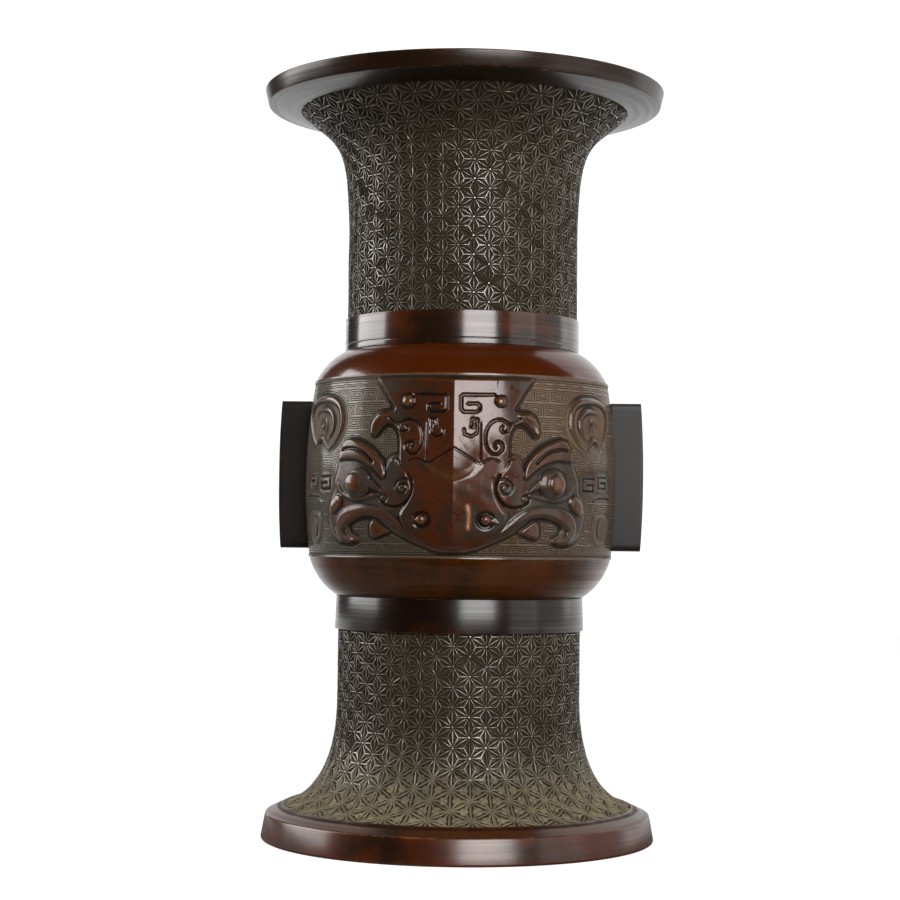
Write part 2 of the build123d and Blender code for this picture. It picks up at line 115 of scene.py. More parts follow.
class Paint:
    """A material under construction, with short ways to add its nodes."""

    def __init__(self, name: str) -> None:
        """Starts an empty node tree.

        Args:
            name: name of the material.
        """
        self.material = bpy.data.materials.new(name)
        self.material.use_nodes = True
        self.tree = self.material.node_tree
        self.tree.nodes.clear()

    def node(
        self,
        kind: str,
        settings: Optional[dict[str, Any]] = None,
        sockets: Optional[Sockets] = None,
        out: Union[str, int] = 0,
    ) -> Sock:
        """Adds a node.

        Args:
            kind: type name of the node.
            settings: properties of the node, set before its sockets.
            sockets: values or links of its inputs, by name or index.
            out: the output to hand back, by name or index.

        Returns:
            The chosen output, ready for an expression.
        """
        made = self.tree.nodes.new(kind)
        for key, value in (settings or {}).items():
            setattr(made, key, value)
        for key, value in (sockets or {}).items():
            if isinstance(value, Sock):
                self.tree.links.new(value.socket, made.inputs[key])
            else:
                made.inputs[key].default_value = value
        return Sock(self, made.outputs[out] if made.outputs else None)

    def math(self, operation: str, *terms: Value) -> Sock:
        """Adds a Math node, or a Vector Math node where a term is a vector.

        Args:
            operation: name of the operation.
            terms: the values or sockets that it works on.

        Returns:
            The result.
        """
        vector = any(isinstance(term, Sock) and term.socket.type == "VECTOR" for term in terms)
        kind = "ShaderNodeVectorMath" if vector else "ShaderNodeMath"
        return self.node(kind, {"operation": operation}, dict(enumerate(terms)))

    def blend(self, share: Value, first: Value, second: Value) -> Sock:
        """Mixes two colours.

        Args:
            share: how much of the second colour shows, 0 to 1.
            first: colour at 0.
            second: colour at 1.

        Returns:
            The mixed colour.
        """
        tints = [c if isinstance(c, Sock) else (*c, 1.0) for c in (first, second)]
        sockets = {MIX_SHARE: share, MIX_FIRST: tints[0], MIX_SECOND: tints[1]}
        return self.node("ShaderNodeMix", {"data_type": "RGBA"}, sockets, MIX_RESULT)

    def ramp(self, value: Value, low: float, high: float) -> Sock:
        """Smooth step of a value from 0 at low to 1 at high."""
        ends = {"Value": value, "From Min": low, "From Max": high}
        return self.node("ShaderNodeMapRange", {"interpolation_type": "SMOOTHSTEP"}, ends)

    def attribute(self, name: Attr) -> Sock:
        """Value painted on the vertices."""
        return self.node("ShaderNodeAttribute", {"attribute_name": name.value}, out="Fac")

    def place(self) -> Sock:
        """Position in the shared frame, in metres."""
        return self.node("ShaderNodeTexCoord", out="Object")

    def facing(self) -> Sock:
        """Direction that the surface faces."""
        return self.node("ShaderNodeNewGeometry", out="Normal")

    def axis(self, vector: Sock, name: str) -> Sock:
        """One component of a vector."""
        return self.node("ShaderNodeSeparateXYZ", sockets={0: vector}, out=name)

    def noise(self, vector: Sock, scale: float, detail: float = 3.0, rough: float = 0.55) -> Sock:
        """Noise about zero, with a given number of spots to the metre."""
        sockets = {"Vector": vector, "Scale": scale, "Detail": detail, "Roughness": rough}
        return self.node("ShaderNodeTexNoise", sockets=sockets) - 0.5

    def bump(self, height: Sock, depth: float, strength: float) -> Sock:
        """Surface normal from a height, where a height of 1 stands for a depth in metres."""
        sockets = {"Height": height, "Distance": depth, "Strength": strength}
        return self.node("ShaderNodeBump", sockets=sockets)

    def surface(self, sockets: Sockets) -> bpy.types.Material:
        """Closes the material with a Principled shader.

        Args:
            sockets: values and links of the shader.

        Returns:
            The finished material.
        """
        shader = self.node("ShaderNodeBsdfPrincipled", sockets=sockets)
        self.node("ShaderNodeOutputMaterial", sockets={"Surface": shader})
        return self.material


@dataclass(frozen=True)
class TurnedBronze:
    """Turned and burnished bronze under a dark, waxed red-brown patina."""

    name: str
    redness: float = 0.3
    gloss: float = 0.85
    dust: float = 0.0
    polish: float = 0.15
    dark: Colour = (0.022, 0.0085, 0.0028)
    red: Colour = (0.095, 0.017, 0.0012)
    worn: Colour = (0.24, 0.12, 0.055)
    olive: Colour = (0.105, 0.064, 0.032)

    def make(self) -> bpy.types.Material:
        """Builds the material.

        Returns:
            The material.
        """
        paint = Paint(self.name)
        place = paint.place()
        cloud = paint.noise(place, 26.0, 4.0)
        blot = paint.noise(place, 110.0, 4.0, 0.65)
        speck = paint.noise(place, 520.0, 3.0, 0.7)
        lines = paint.noise(place * (9.0, 9.0, 1500.0), 1.0, 3.0, 0.7)
        streak = paint.noise(place * (5.0, 5.0, 190.0), 1.0, 2.0)
        # The patina goes from nearly black to red in clouds.
        warm = 1.1 * cloud + 0.35 * streak + 0.6 * blot + self.redness
        base = paint.blend(paint.ramp(warm, 0.195, 0.615), self.dark, self.red)
        # Edges are rubbed bright, upward faces hold dust and seams stay dark.
        wear = paint.attribute(Attr.WEAR)
        edge = paint.ramp(wear + 0.9 * speck + 1.3 * blot, 0.5, 1.05)
        base = paint.blend(edge * 0.75, base, self.worn)
        upward = paint.axis(paint.facing(), "Z")
        settled = paint.ramp(upward + 0.6 * cloud + 0.7 * blot, 0.3, 0.95) * self.dust
        base = paint.blend(settled, base, self.olive)
        seam = paint.ramp(1.2 * blot - wear, 0.3, 0.9)
        base = paint.blend(seam * 0.85, base, self.dark)
        coat = self.gloss + 0.3 * cloud + 1.2 * lines - 1.6 * settled - 0.5 * seam
        return paint.surface(
            {
                "Base Color": base,
                "Metallic": 0.15,
                "Roughness": 0.39 + 0.14 * cloud + 0.2 * lines + 0.16 * speck + 0.3 * settled,
                "Specular IOR Level": 0.06,
                "Normal": paint.bump(lines + 0.4 * speck + 0.9 * blot, 0.00007, 0.6),
                "Coat Weight": coat,
                "Coat Roughness": self.polish,
                "Coat IOR": 1.76,
            }
        )


@dataclass(frozen=True)
class DiaperBronze:
    """Cast diaper: rubbed ridges over recesses darkened with dark patina and painted shade, with an olive
    film and dust where they can settle.
    """

    name: str = "diaper_bronze"
    ridge: Colour = (0.130, 0.096, 0.054)
    # Dark patina with painted shade, for the recesses.
    recess_and_shade: Colour = (0.028, 0.019, 0.0095)
    brown: Colour = (0.060, 0.026, 0.009)
    # Dark bare bronze of the ridges on the flare, and painted shade in the nooks.
    dark_ridge_and_shade: Colour = (0.014, 0.011, 0.006)
    moss: Colour = (0.240, 0.212, 0.130)
    dust: Colour = (0.470, 0.385, 0.225)

    def make(self) -> bpy.types.Material:
        """Builds the material.

        Returns:
            The material.
        """
        paint = Paint(self.name)
        place = paint.place()
        cloud = paint.noise(place, 30.0, 4.0)
        blot = paint.noise(place, 160.0, 4.0, 0.65)
        grain = paint.noise(place, 380.0, 3.0, 0.7)
        speck = paint.noise(place, 1100.0, 3.0, 0.7)
        crest = paint.attribute(Attr.CREST_AND_SHADE)
        rise = paint.attribute(Attr.RISE)
        # Where the ridges are rubbed, where painted shade darkens the nooks, and where film and dust lie.
        bare = paint.ramp(crest + 0.3 * cloud + 0.9 * speck + grain, 0.25, 0.85)
        nook_shade = paint.ramp(0.4 * speck + 0.5 * blot - crest, 0.02, 0.3)
        settled = paint.ramp(rise + 0.5 * cloud + 0.6 * blot, 0.22, 0.82)
        film = paint.ramp(rise + 0.3 * cloud + 0.3 * blot, 0.02, 0.45)
        stray = paint.ramp(0.7 * blot + 0.5 * cloud, -0.05, 0.18)
        powder = paint.blend(paint.ramp(0.7 * speck + 0.6 * blot, -0.15, 0.15), self.moss, self.dust)
        # Recesses, darkened with painted shade, and ridges are mixed first, then film and dust are laid over
        # both.
        low = paint.blend((stray * 0.14 + settled * 0.85) * (1.0 - 0.95 * nook_shade), self.recess_and_shade, powder)
        top = paint.blend(paint.ramp(cloud + 0.5 * blot, -0.05, 0.2) * 0.6, self.ridge, self.brown)
        top = paint.blend(settled * 0.7, top, self.dark_ridge_and_shade)
        base = paint.blend(bare, low, top)
        base = paint.blend(film * 0.4 * (1.0 - nook_shade) * (1.0 - settled * bare), base, self.moss)
        # Painted shade deepens the nooks under the film.
        base = paint.blend(film * nook_shade * 0.7, base, self.dark_ridge_and_shade)
        base = paint.blend(settled * (0.225 + 0.35 * blot) * (1.0 - 0.8 * nook_shade), base, powder)
        # Ridges and hub dots shine in patches.
        gloss = bare * (1.0 - 0.75 * settled) * paint.ramp(blot + 0.4 * cloud, -0.3, 0.0)
        gloss = gloss * paint.ramp(grain, -0.2, 0.04)
        dome = paint.ramp(crest, 1.02, 1.3) * (1.0 - 0.6 * settled)
        gloss = paint.math("MAXIMUM", gloss, dome)
        return paint.surface(
            {
                "Base Color": base,
                "Metallic": bare * 0.25,
                "Roughness": 0.78 - 0.42 * gloss + 0.3 * speck,
                "Normal": paint.bump(speck + 0.5 * blot, 0.00018, 0.7),
                "Specular IOR Level": 0.3,
                "Coat Weight": gloss,
                "Coat Roughness": 0.3,
                "Coat IOR": 2.25,
            }
        )


@dataclass(frozen=True)
class ReliefBronze:
    """Cast relief: brown-grey ground with a fine fret, painted light on its right and painted shade low down
    and in hollows, high points worn to warm brown.
    """

    name: str = "relief_bronze"
    ground: Colour = (0.205, 0.165, 0.122)
    # Warmer, lighter ground of the right side, partly painted light.
    earth_and_painted_light: Colour = (0.275, 0.175, 0.106)
    side: Colour = (0.068, 0.050, 0.036)
    smooth: Colour = (0.034, 0.021, 0.012)
    # Near black: the pits and the fret's lines, and painted shade in hollows, beside the flanges and low
    # down.
    hollow: Colour = (0.007, 0.005, 0.003)
    red: Colour = (0.085, 0.019, 0.004)
    brown: Colour = (0.085, 0.030, 0.009)
    worn: Colour = (0.150, 0.056, 0.017)
    copper: Colour = (0.52, 0.24, 0.12)

    def make(self) -> bpy.types.Material:
        """Builds the material.

        Returns:
            The material.
        """
        paint = Paint(self.name)
        place = paint.place()
        cloud = paint.noise(place, 42.0, 5.0, 0.6)
        blot = paint.noise(place, 150.0, 5.0, 0.7)
        speck = paint.noise(place, 900.0, 3.0, 0.75)
        fret = paint.attribute(Attr.FRET)
        smooth = paint.attribute(Attr.SMOOTH)
        high = paint.attribute(Attr.WEAR)
        across = paint.axis(place, "X")
        aside = paint.math("ABSOLUTE", across)
        # The fret's lines waver a little, as in a casting.
        phase = paint.attribute(Attr.LINES) * (FULL_TURN / FRET_PITCH)
        line = paint.ramp(paint.math("SINE", phase + 1.4 * speck + 1.6 * blot), -0.4, 0.5)
        # Smooth metal is red in the middle of the mask and grey-brown at its flanks.
        middle = 1.0 - paint.ramp(aside, 0.006, 0.030)
        flank = paint.ramp(aside, 0.010, 0.030)
        warm = paint.ramp(cloud + 0.9 * blot + 0.22 * middle, 0.0, 0.22)
        plain = paint.blend(warm, paint.blend(flank, self.smooth, self.side), self.red)
        # The ground is cooler on the left and warmer and lighter on the right, partly painted light from the
        # right; low down it is darkened with painted shade.
        tone = paint.blend(paint.ramp(across + 0.03 * cloud, -0.04, 0.02), self.ground, self.earth_and_painted_light)
        above_low_shade = paint.ramp(paint.axis(place, "Z") + 0.02 * cloud, 0.118, 0.165)
        tone = paint.blend(0.4 - 0.4 * above_low_shade, tone, self.hollow)
        base = paint.blend(smooth, tone, plain)
        base = paint.blend(fret * (1.0 - line) * 0.78, base, self.hollow)
        # High points are worn through brown to bare copper, hollows take painted shade and pits stay dark.
        rubbed = paint.ramp(high + 0.9 * cloud + 0.9 * blot, 0.3, 0.85)
        base = paint.blend(rubbed * 0.85, base, self.brown)
        bright = paint.ramp(high + 0.6 * speck + 1.1 * blot, 0.8, 1.35)
        base = paint.blend(bright * 0.85, base, self.worn)
        scratch = paint.ramp(high + 1.1 * speck + 0.5 * blot, 1.55, 1.9)
        base = paint.blend(scratch, base, self.copper)
        # Painted shade in the hollows and beside the flanges.
        deep = paint.ramp(paint.attribute(Attr.HOLLOW_SHADE) + 0.3 * speck, 0.2, 0.8)
        base = paint.blend(deep * 0.85, base, self.hollow)
        pits = paint.ramp(0.7 * speck + 0.5 * blot, 0.06, 0.2)
        base = paint.blend(pits * smooth * 0.6, base, self.hollow)
        # Smooth and rubbed parts shine, less at the flanks and on the dull muzzle.
        dull = flank * (1.0 - paint.ramp(high, 0.7, 1.1))
        gloss = paint.ramp(high * 1.6 + smooth * 0.3, 0.1, 0.9) * (1.0 - 0.8 * pits) * (1.0 - 0.35 * dull)
        matt = paint.attribute(Attr.MATT) * (1.0 - paint.ramp(high, 0.4, 0.8))
        gloss = gloss * (1.0 - matt * paint.ramp(blot + 0.6 * cloud, -0.35, -0.08)) + 0.65 * fret * line
        height = 1.5 * fret * line + 0.35 * speck + 0.5 * (blot + 0.5) * smooth - 0.7 * pits * smooth
        return paint.surface(
            {
                "Base Color": base,
                "Metallic": 0.2,
                "Roughness": 0.6 - 0.22 * gloss + 0.25 * speck + 0.3 * blot,
                "Specular IOR Level": 0.12,
                "Normal": paint.bump(height, 0.00024, 0.85),
                "Coat Weight": gloss * 0.9,
                "Coat Roughness": 0.15,
                "Coat IOR": 1.65,
            }
        )


@dataclass(frozen=True)
class FlangeBronze:
    """Plain filed bronze with a dark grey patina, browner along its edges."""

    name: str = "flange_bronze"
    grey: Colour = (0.012, 0.010, 0.009)
    brown: Colour = (0.020, 0.011, 0.006)
    worn: Colour = (0.10, 0.075, 0.055)

    def make(self) -> bpy.types.Material:
        """Builds the material.

        Returns:
            The material.
        """
        paint = Paint(self.name)
        place = paint.place()
        cloud = paint.noise(place, 48.0, 4.0)
        speck = paint.noise(place, 650.0, 3.0, 0.7)
        lines = paint.noise(place * (900.0, 900.0, 30.0), 1.0, 2.0)
        base = paint.blend(paint.ramp(cloud, -0.1, 0.22), self.grey, self.brown)
        edge = paint.ramp(paint.attribute(Attr.WEAR) + 0.8 * speck, 0.5, 1.0)
        base = paint.blend(edge * 0.6, base, self.worn)
        return paint.surface(
            {
                "Base Color": base,
                "Metallic": 0.2,
                "Roughness": 0.42 + 0.16 * cloud + 0.15 * speck,
                "Specular IOR Level": 0.12,
                "Normal": paint.bump(0.6 * lines + 0.6 * speck + cloud, 0.0001, 0.5),
                "Coat Weight": 0.5,
                "Coat Roughness": 0.3,
            }
        )


@dataclass(frozen=True)
class BaseBronze:
    """Bronze left as it was cast, dull and stained."""

    name: str = "base_bronze"
    dull: Colour = (0.040, 0.028, 0.018)
    stain: Colour = (0.075, 0.062, 0.038)

    def make(self) -> bpy.types.Material:
        """Builds the material.

        Returns:
            The material.
        """
        paint = Paint(self.name)
        place = paint.place()
        cloud = paint.noise(place, 38.0, 5.0)
        speck = paint.noise(place, 700.0, 3.0, 0.7)
        return paint.surface(
            {
                "Base Color": paint.blend(paint.ramp(cloud, -0.1, 0.2), self.dull, self.stain),
                "Metallic": 0.3,
                "Roughness": 0.675 + 0.25 * cloud,
                "Normal": paint.bump(speck + cloud, 0.00018, 0.6),
            }
        )


@dataclass
class Corner:
    """Corner of a turned section, in millimetres."""

    r: float
    z: float
    round: float = 0.0
    wear: float = 0.0

    def place(self) -> Array:
        """Radius and height."""
        return np.array([self.r, self.z])


def corners(*rows: Sequence[float]) -> list[Corner]:
    """Corners from rows of radius, height, rounding and wear."""
    return [Corner(*row) for row in rows]


def rounded(section: Sequence[Corner], steps: int) -> tuple[Array, Array]:
    """Closed section with its corners rounded.

    Args:
        section: the section's corners in order.
        steps: points along each rounded corner.

    Returns:
        Points as (radius, height) and the wear at each of them.
    """
    points: list[Array] = []
    wear: list[float] = []
    for i, corner in enumerate(section):
        here = corner.place()
        if corner.round <= 0:
            points.append(here)
            wear.append(corner.wear)
            continue
        back = section[i - 1].place() - here
        ahead = section[(i + 1) % len(section)].place() - here
        back /= np.linalg.norm(back)
        ahead /= np.linalg.norm(ahead)
        half = 0.5 * math.acos(float(np.clip(back @ ahead, -1, 1)))
        reach = corner.round / math.tan(half)
        start, stop = here + back * reach, here + ahead * reach
        for t in np.linspace(0, 1, steps):
            points.append((1 - t) ** 2 * start + 2 * t * (1 - t) * here + t**2 * stop)
            wear.append(corner.wear * math.sin(math.pi * (0.1 + 0.8 * t)))
    return np.array(points), np.array(wear)


def add_piece(mesh: bpy.types.Mesh, values: dict[Attr, Array]) -> bpy.types.Object:
    """Puts a mesh in the scene.

    Args:
        mesh: the mesh, which also names the piece.
        values: values painted on its points.

    Returns:
        The new object, smooth shaded.
    """
    for key, value in values.items():
        layer = mesh.attributes.new(key.value, "FLOAT", "POINT")
        layer.data.foreach_set("value", np.asarray(value, dtype=np.float32))
    mesh.shade_smooth()
    piece = bpy.data.objects.new(mesh.name, mesh)
    bpy.context.scene.collection.objects.link(piece)
    return piece


def add_mesh(name: str, verts: Array, faces: Sequence[Array], values: dict[Attr, Array]) -> bpy.types.Object:
    """Makes a piece from arrays.

    Args:
        name: name of the piece.
        verts: points in millimetres.
        faces: arrays of triangles or quads, as indices of points.
        values: values painted on the points.

    Returns:
        The new object, smooth shaded.
    """
    mesh = bpy.data.meshes.new(name)
    loops = np.concatenate([f.reshape(-1) for f in faces]).astype(np.int32)
    sizes = np.concatenate([np.full(len(f), f.shape[1]) for f in faces]).astype(np.int32)
    starts = np.concatenate([[0], np.cumsum(sizes)[:-1]]).astype(np.int32)
    mesh.vertices.add(len(verts))
    mesh.vertices.foreach_set("co", (np.asarray(verts) * MM).astype(np.float32).reshape(-1))
    mesh.loops.add(len(loops))
    mesh.loops.foreach_set("vertex_index", loops)
    mesh.polygons.add(len(sizes))
    mesh.polygons.foreach_set("loop_start", starts)
    mesh.polygons.foreach_set("loop_total", sizes)
    mesh.update(calc_edges=True)
    mesh.validate()
    return add_piece(mesh, values)


def settle(piece: bpy.types.Object, node: str, material: bpy.types.Material) -> None:
    """Dresses a piece and lets it stand for a solid.

    Args:
        piece: the piece.
        node: the solid's node.
        material: finish of the piece.
    """
    piece.data.materials.append(material)
    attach(piece, "root")
    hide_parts(node)
    LOG.info("%s: %d faces for %s", piece.name, len(piece.data.polygons), node)


def spin(r: Array, turn: Array, z: Array) -> Array:
    """Points in space from radius, turn from the front and height."""
    return np.stack([r * np.sin(turn), -r * np.cos(turn), z], axis=-1).reshape(-1, 3)


def revolve(section: Array, segments: int) -> tuple[Array, Array]:
    """Points and quads of a closed section turned round the axis.

    Args:
        section: the section as (radius, height).
        segments: steps round the axis.

    Returns:
        Points in space and quads.
    """
    turn = np.arange(segments) * (FULL_TURN / segments)
    count = len(section)
    r, z = (np.repeat(section[:, k, None], segments, axis=1) for k in (0, 1))
    i, j = np.meshgrid(np.arange(count), np.arange(segments), indexing="ij")
    i2, j2 = (i + 1) % count * segments, (j + 1) % segments
    i = i * segments
    quads = np.stack([i + j, i + j2, i2 + j2, i2 + j], axis=-1)
    return spin(r, turn[None, :], z), quads.reshape(-1, 4)


@dataclass
class TurnedPiece:
    """A smooth ring, collar, shoulder or plate turned on the lathe."""

    node: str
    section: Sequence[Corner]
    finish: Union[TurnedBronze, BaseBronze]
    slot: Slot = Slot.TURNED
    segments: int = 288
    steps: int = 5
    crisp: float = 40.0

    def build(self) -> bpy.types.Object:
        """Builds the mesh with its faces outward and its sharp edges kept crisp.

        Returns:
            The piece.
        """
        points, wear = rounded(self.section, self.steps)
        verts, quads = revolve(points, self.segments)
        values = {Attr.WEAR: np.repeat(wear, self.segments)}
        piece = add_mesh(f"{self.node}_turned", verts, [quads], values)
        work = bmesh.new()
        work.from_mesh(piece.data)
        bmesh.ops.recalc_face_normals(work, faces=work.faces)
        work.to_mesh(piece.data)
        work.free()
        piece.data.set_sharp_from_angle(angle=math.radians(self.crisp))
        return piece

    def dress(self, piece: bpy.types.Object, material: bpy.types.Material) -> None:
        """Gives the piece its finish and its place."""
        settle(piece, self.node, material)


def bezier(p0: Point, p1: Point, p2: Point, p3: Point, count: int) -> Array:
    """Points along a cubic curve.

    Args:
        p0: where the curve starts.
        p1: its first handle.
        p2: its second handle.
        p3: where it stops.
        count: number of points.

    Returns:
        The points.
    """
    t = np.linspace(0, 1, count)[:, None]
    a, b, c, d = (np.array(p) for p in (p0, p1, p2, p3))
    return (1 - t) ** 3 * a + 3 * t * (1 - t) ** 2 * b + 3 * t**2 * (1 - t) * c + t**3 * d


def flare_curve(tube: Point, edge: Point, pull: float, run: float, slope: float, count: int = 60) -> Array:
    """Trumpet curve from a straight tube to its flared edge.

    Args:
        tube: radius and height where the curve leaves the tube.
        edge: radius and height of the flared edge.
        pull: length of the handle along the tube.
        run: length of the handle at the edge.
        slope: angle of the edge to the level, in degrees.
        count: points along the curve.

    Returns:
        Points as (radius, height), from the tube to the edge.
    """
    way = 1.0 if edge[1] > tube[1] else -1.0
    lean = math.radians(slope)
    near = (edge[0] - run * math.cos(lean), edge[1] - way * run * math.sin(lean))
    return bezier(tube, (tube[0], tube[1] + way * pull), near, edge, count)


def ripple(u: Array, v: Array, seed: int, waves: int = 7) -> Array:
    """Smooth uneven field, about -1 to 1, that closes round the axis.

    Args:
        u: turn round the axis, in radians.
        v: distance along the section, in the same units as the radius 1.
        seed: which field.
        waves: number of waves that are summed.

    Returns:
        The field at each point.
    """
    rng = np.random.default_rng(seed)
    total = np.zeros_like(u)
    for _ in range(waves):
        k = rng.integers(2, 14)
        m = rng.uniform(2, 14)
        total += np.sin(k * u + m * v + rng.uniform(0, FULL_TURN))
    return total / math.sqrt(waves)


# Shares at the nine points round a panel: how far its spokes dip at the hubs, and how much painted shade
# darkens its nooks.
SPOKE_DIP = np.array([1.0, 0.0, 0.0, 1.0, 0.0, 0.0, 0.3, 0.0, 0.0])
SPOKE_NOOK_SHADE = np.array([-0.9, -0.45, -0.45, -0.9, -0.45, 0.0, 0.0, 0.0, -0.45])

# Flat points, their lift, how bare they are rubbed (below zero in the painted shade of the nooks), and the
# triangles of one motif.
Motifs = tuple[Array, Array, Array, Array]


@dataclass
class DiaperTube:
    """A flared tube whose outside carries a raised hemp-leaf diaper.

    Lengths round and along the diaper are shares of the tube's radius, and heights are in millimetres.
    """

    node: str
    outside: Array
    inside: Array
    seed: int
    columns: int = 48
    pitch: float = 0.158
    crest: float = 0.4
    depth: float = 0.5
    ridge: float = 0.0042
    foot_of_ridge: float = 0.0084
    dash: float = 0.27
    dip: float = 0.2
    dot: float = 0.0092
    hand: float = 0.4
    sway: float = 0.0026
    uneven: float = 0.12
    backing: float = 0.12
    segments: int = 120
    crisp: float = 38.0
    weld: float = 1e-5

    def section(self) -> tuple[Array, Array, Array, Array]:
        """Measures the outside from bottom to top.

        Returns:
            Row numbers of the diaper, radius, height and outward direction at each point.
        """
        line = self.outside if self.outside[0, 1] < self.outside[-1, 1] else self.outside[::-1]
        length = np.linalg.norm(np.diff(line, axis=0), axis=1)
        mid_r = 0.5 * (line[1:, 0] + line[:-1, 0])
        rows = np.concatenate([[0], np.cumsum(length / (self.pitch * mid_r))])
        along = np.gradient(line, axis=0)
        along /= np.linalg.norm(along, axis=1)[:, None]
        out = np.stack([along[:, 1], -along[:, 0]], axis=1)
        return rows, line[:, 0], line[:, 1], out

    def unit(self) -> Array:
        """Size of one column and one row."""
        return np.array([FULL_TURN / self.columns, self.pitch])

    def lattice(self, first: int, last: int) -> Array:
        """Hubs of the diaper as (column, row), from a first row up to a last one."""
        k, j = np.meshgrid(np.arange(self.columns), np.arange(first, last), indexing="ij")
        return np.stack([k, j + 0.5 * (k % 2)], axis=-1).reshape(-1, 2).astype(float)

    def panels(self, rows: float) -> Array:
        """Corners of the diaper's panels as (column, row): two lattice points and a centre for each.

        Args:
            rows: number of rows that the section holds.

        Returns:
            Array of panels, corners and coordinates.
        """
        hub = self.lattice(-2, int(rows) + 3)
        right, right_up, up = hub + (1, 0.5), hub + (1, 1.5), hub + (0, 1)
        cells = np.concatenate([np.stack([hub, right, up], 1), np.stack([right, right_up, up], 1)])
        middle = cells.mean(axis=1)
        panels = np.concatenate([np.stack([cells[:, a], cells[:, (a + 1) % 3], middle], 1) for a in range(3)])
        inside = (panels[:, :, 1].max(axis=1) > 0) & (panels[:, :, 1].min(axis=1) < rows)
        return panels[inside]

    def spokes(self, rows: float) -> Motifs:
        """Panels of the diaper with the spokes along their sides, which dip at the hubs and take painted
        shade there.

        Args:
            rows: number of rows that the section holds.

        Returns:
            The panels: an outline on the crests, two rings on the flanks and a centre point each.
        """
        tips = self.panels(rows) * self.unit()
        ahead = tips[:, [1, 2, 0]] - tips
        sides = np.linalg.norm(ahead, axis=2)[:, [1, 2, 0]]
        centre = (tips * sides[:, :, None]).sum(axis=1) / sides.sum(axis=1)[:, None]
        area = np.abs(ahead[:, 0, 0] * ahead[:, 2, 1] - ahead[:, 0, 1] * ahead[:, 2, 0])
        inradius = area / sides.sum(axis=1)
        steps = (0.0, self.dash, 1.0 - self.dash)
        outline = np.stack([tips[:, k] + t * ahead[:, k] for k in range(3) for t in steps], axis=1)
        rng = np.random.default_rng(self.seed + 9)
        cut = (1 + self.hand * rng.uniform(-1, 1, len(inradius))) / inradius
        scales = [np.ones_like(inradius), 1 - self.ridge * cut, 1 - self.foot_of_ridge * cut]
        rings = [centre[:, None] + s[:, None, None] * (outline - centre[:, None]) for s in scales]
        flat = np.concatenate(rings + [centre[:, None]], axis=1)
        wear = rng.uniform(0.3, 1.0, len(flat))[:, None]
        top, clean, shade = (
            np.repeat(row[None], len(flat), axis=0)
            for row in (self.crest - self.dip * SPOKE_DIP, 1.0 - 0.9 * SPOKE_DIP, np.append(SPOKE_NOOK_SHADE, 0.0))
        )
        floor = np.full(shade.shape, self.crest - self.depth)
        lift = np.concatenate([top, top - 0.09 + 0.06 * wear, floor], axis=1)
        bare = np.concatenate([clean, (clean - 0.2) * wear + 0.35 * SPOKE_NOOK_SHADE, shade], axis=1)
        return flat, lift, bare, self.fan(len(scales), len(SPOKE_DIP))

    def hubs(self, rows: float) -> Motifs:
        """Small flat domes where the spokes meet.

        Args:
            rows: number of rows that the section holds.

        Returns:
            The domes: two rings and a centre point each.
        """
        sides, margin = 6, 0.12
        hub = self.lattice(0, int(rows) + 2)
        hub = hub[(hub[:, 1] > margin) & (hub[:, 1] < rows - margin)] * self.unit()
        angle = np.arange(sides) * (FULL_TURN / sides)
        circle = self.dot * np.stack([np.cos(angle), np.sin(angle)], axis=1)
        flat = hub[:, None] + np.concatenate([1.2 * circle, 0.85 * circle, np.zeros((1, 2))])[None]
        rings = [sides, sides, 1]
        lift = np.repeat([self.crest - 2.2 * self.dip, self.crest, self.crest + 0.05], rings)
        bare = np.repeat([0.0, 1.3, 1.6], rings)
        shape = (len(flat), 1)
        return flat, np.tile(lift, shape), np.tile(bare, shape), self.fan(2, sides)

    @staticmethod
    def fan(rings: int, count: int) -> Array:
        """Triangles between nested rings of points and the centre point after them.

        Args:
            rings: number of rings.
            count: points on each ring.

        Returns:
            The triangles.
        """
        here = np.arange(count)
        after = (here + 1) % count
        local: list[Array] = []
        last = (rings - 1) * count
        for p in range(0, last, count):
            q = p + count
            local.append(np.stack([here + p, after + p, after + q], 1))
            local.append(np.stack([here + p, after + q, here + q], 1))
        local.append(np.stack([here + last, after + last, np.full(count, rings * count)], 1))
        return np.concatenate(local)

    def lay(self, flat: Array, lift: Array, rows: Array, r: Array, z: Array, out: Array) -> Array:
        """Lays flat points on the tube.

        Args:
            flat: the points, in units of the radius.
            lift: height of each point over the tube, in millimetres.
            rows: row numbers along the section.
            r: radius along the section.
            z: height along the section.
            out: outward direction along the section.

        Returns:
            Points in space.
        """
        u, v = flat[:, :, 0], flat[:, :, 1]
        du, dv = (self.sway * ripple(u, v, self.seed + k) for k in (0, 1))
        row = np.clip((v + dv) / self.pitch, 0, rows[-1])
        base = self.crest - self.depth
        height = base + (lift - base) * (1 + self.uneven * ripple(u, v, self.seed + 2))
        radius = np.interp(row, rows, r) + height * np.interp(row, rows, out[:, 0])
        level = np.interp(row, rows, z) + height * np.interp(row, rows, out[:, 1])
        return spin(radius, u + du, level)

    def shell(self) -> Array:
        """Closed section of the tube's wall, just under the recesses.

        Returns:
            Points as (radius, height).
        """
        _, r, z, out = self.section()
        under = self.crest - self.depth - self.backing
        skin = np.stack([r + under * out[:, 0], z + under * out[:, 1]], axis=1)
        inner = self.inside if self.inside[0, 1] > self.inside[-1, 1] else self.inside[::-1]
        return np.concatenate([skin[:-1:3], skin[-1:], inner])

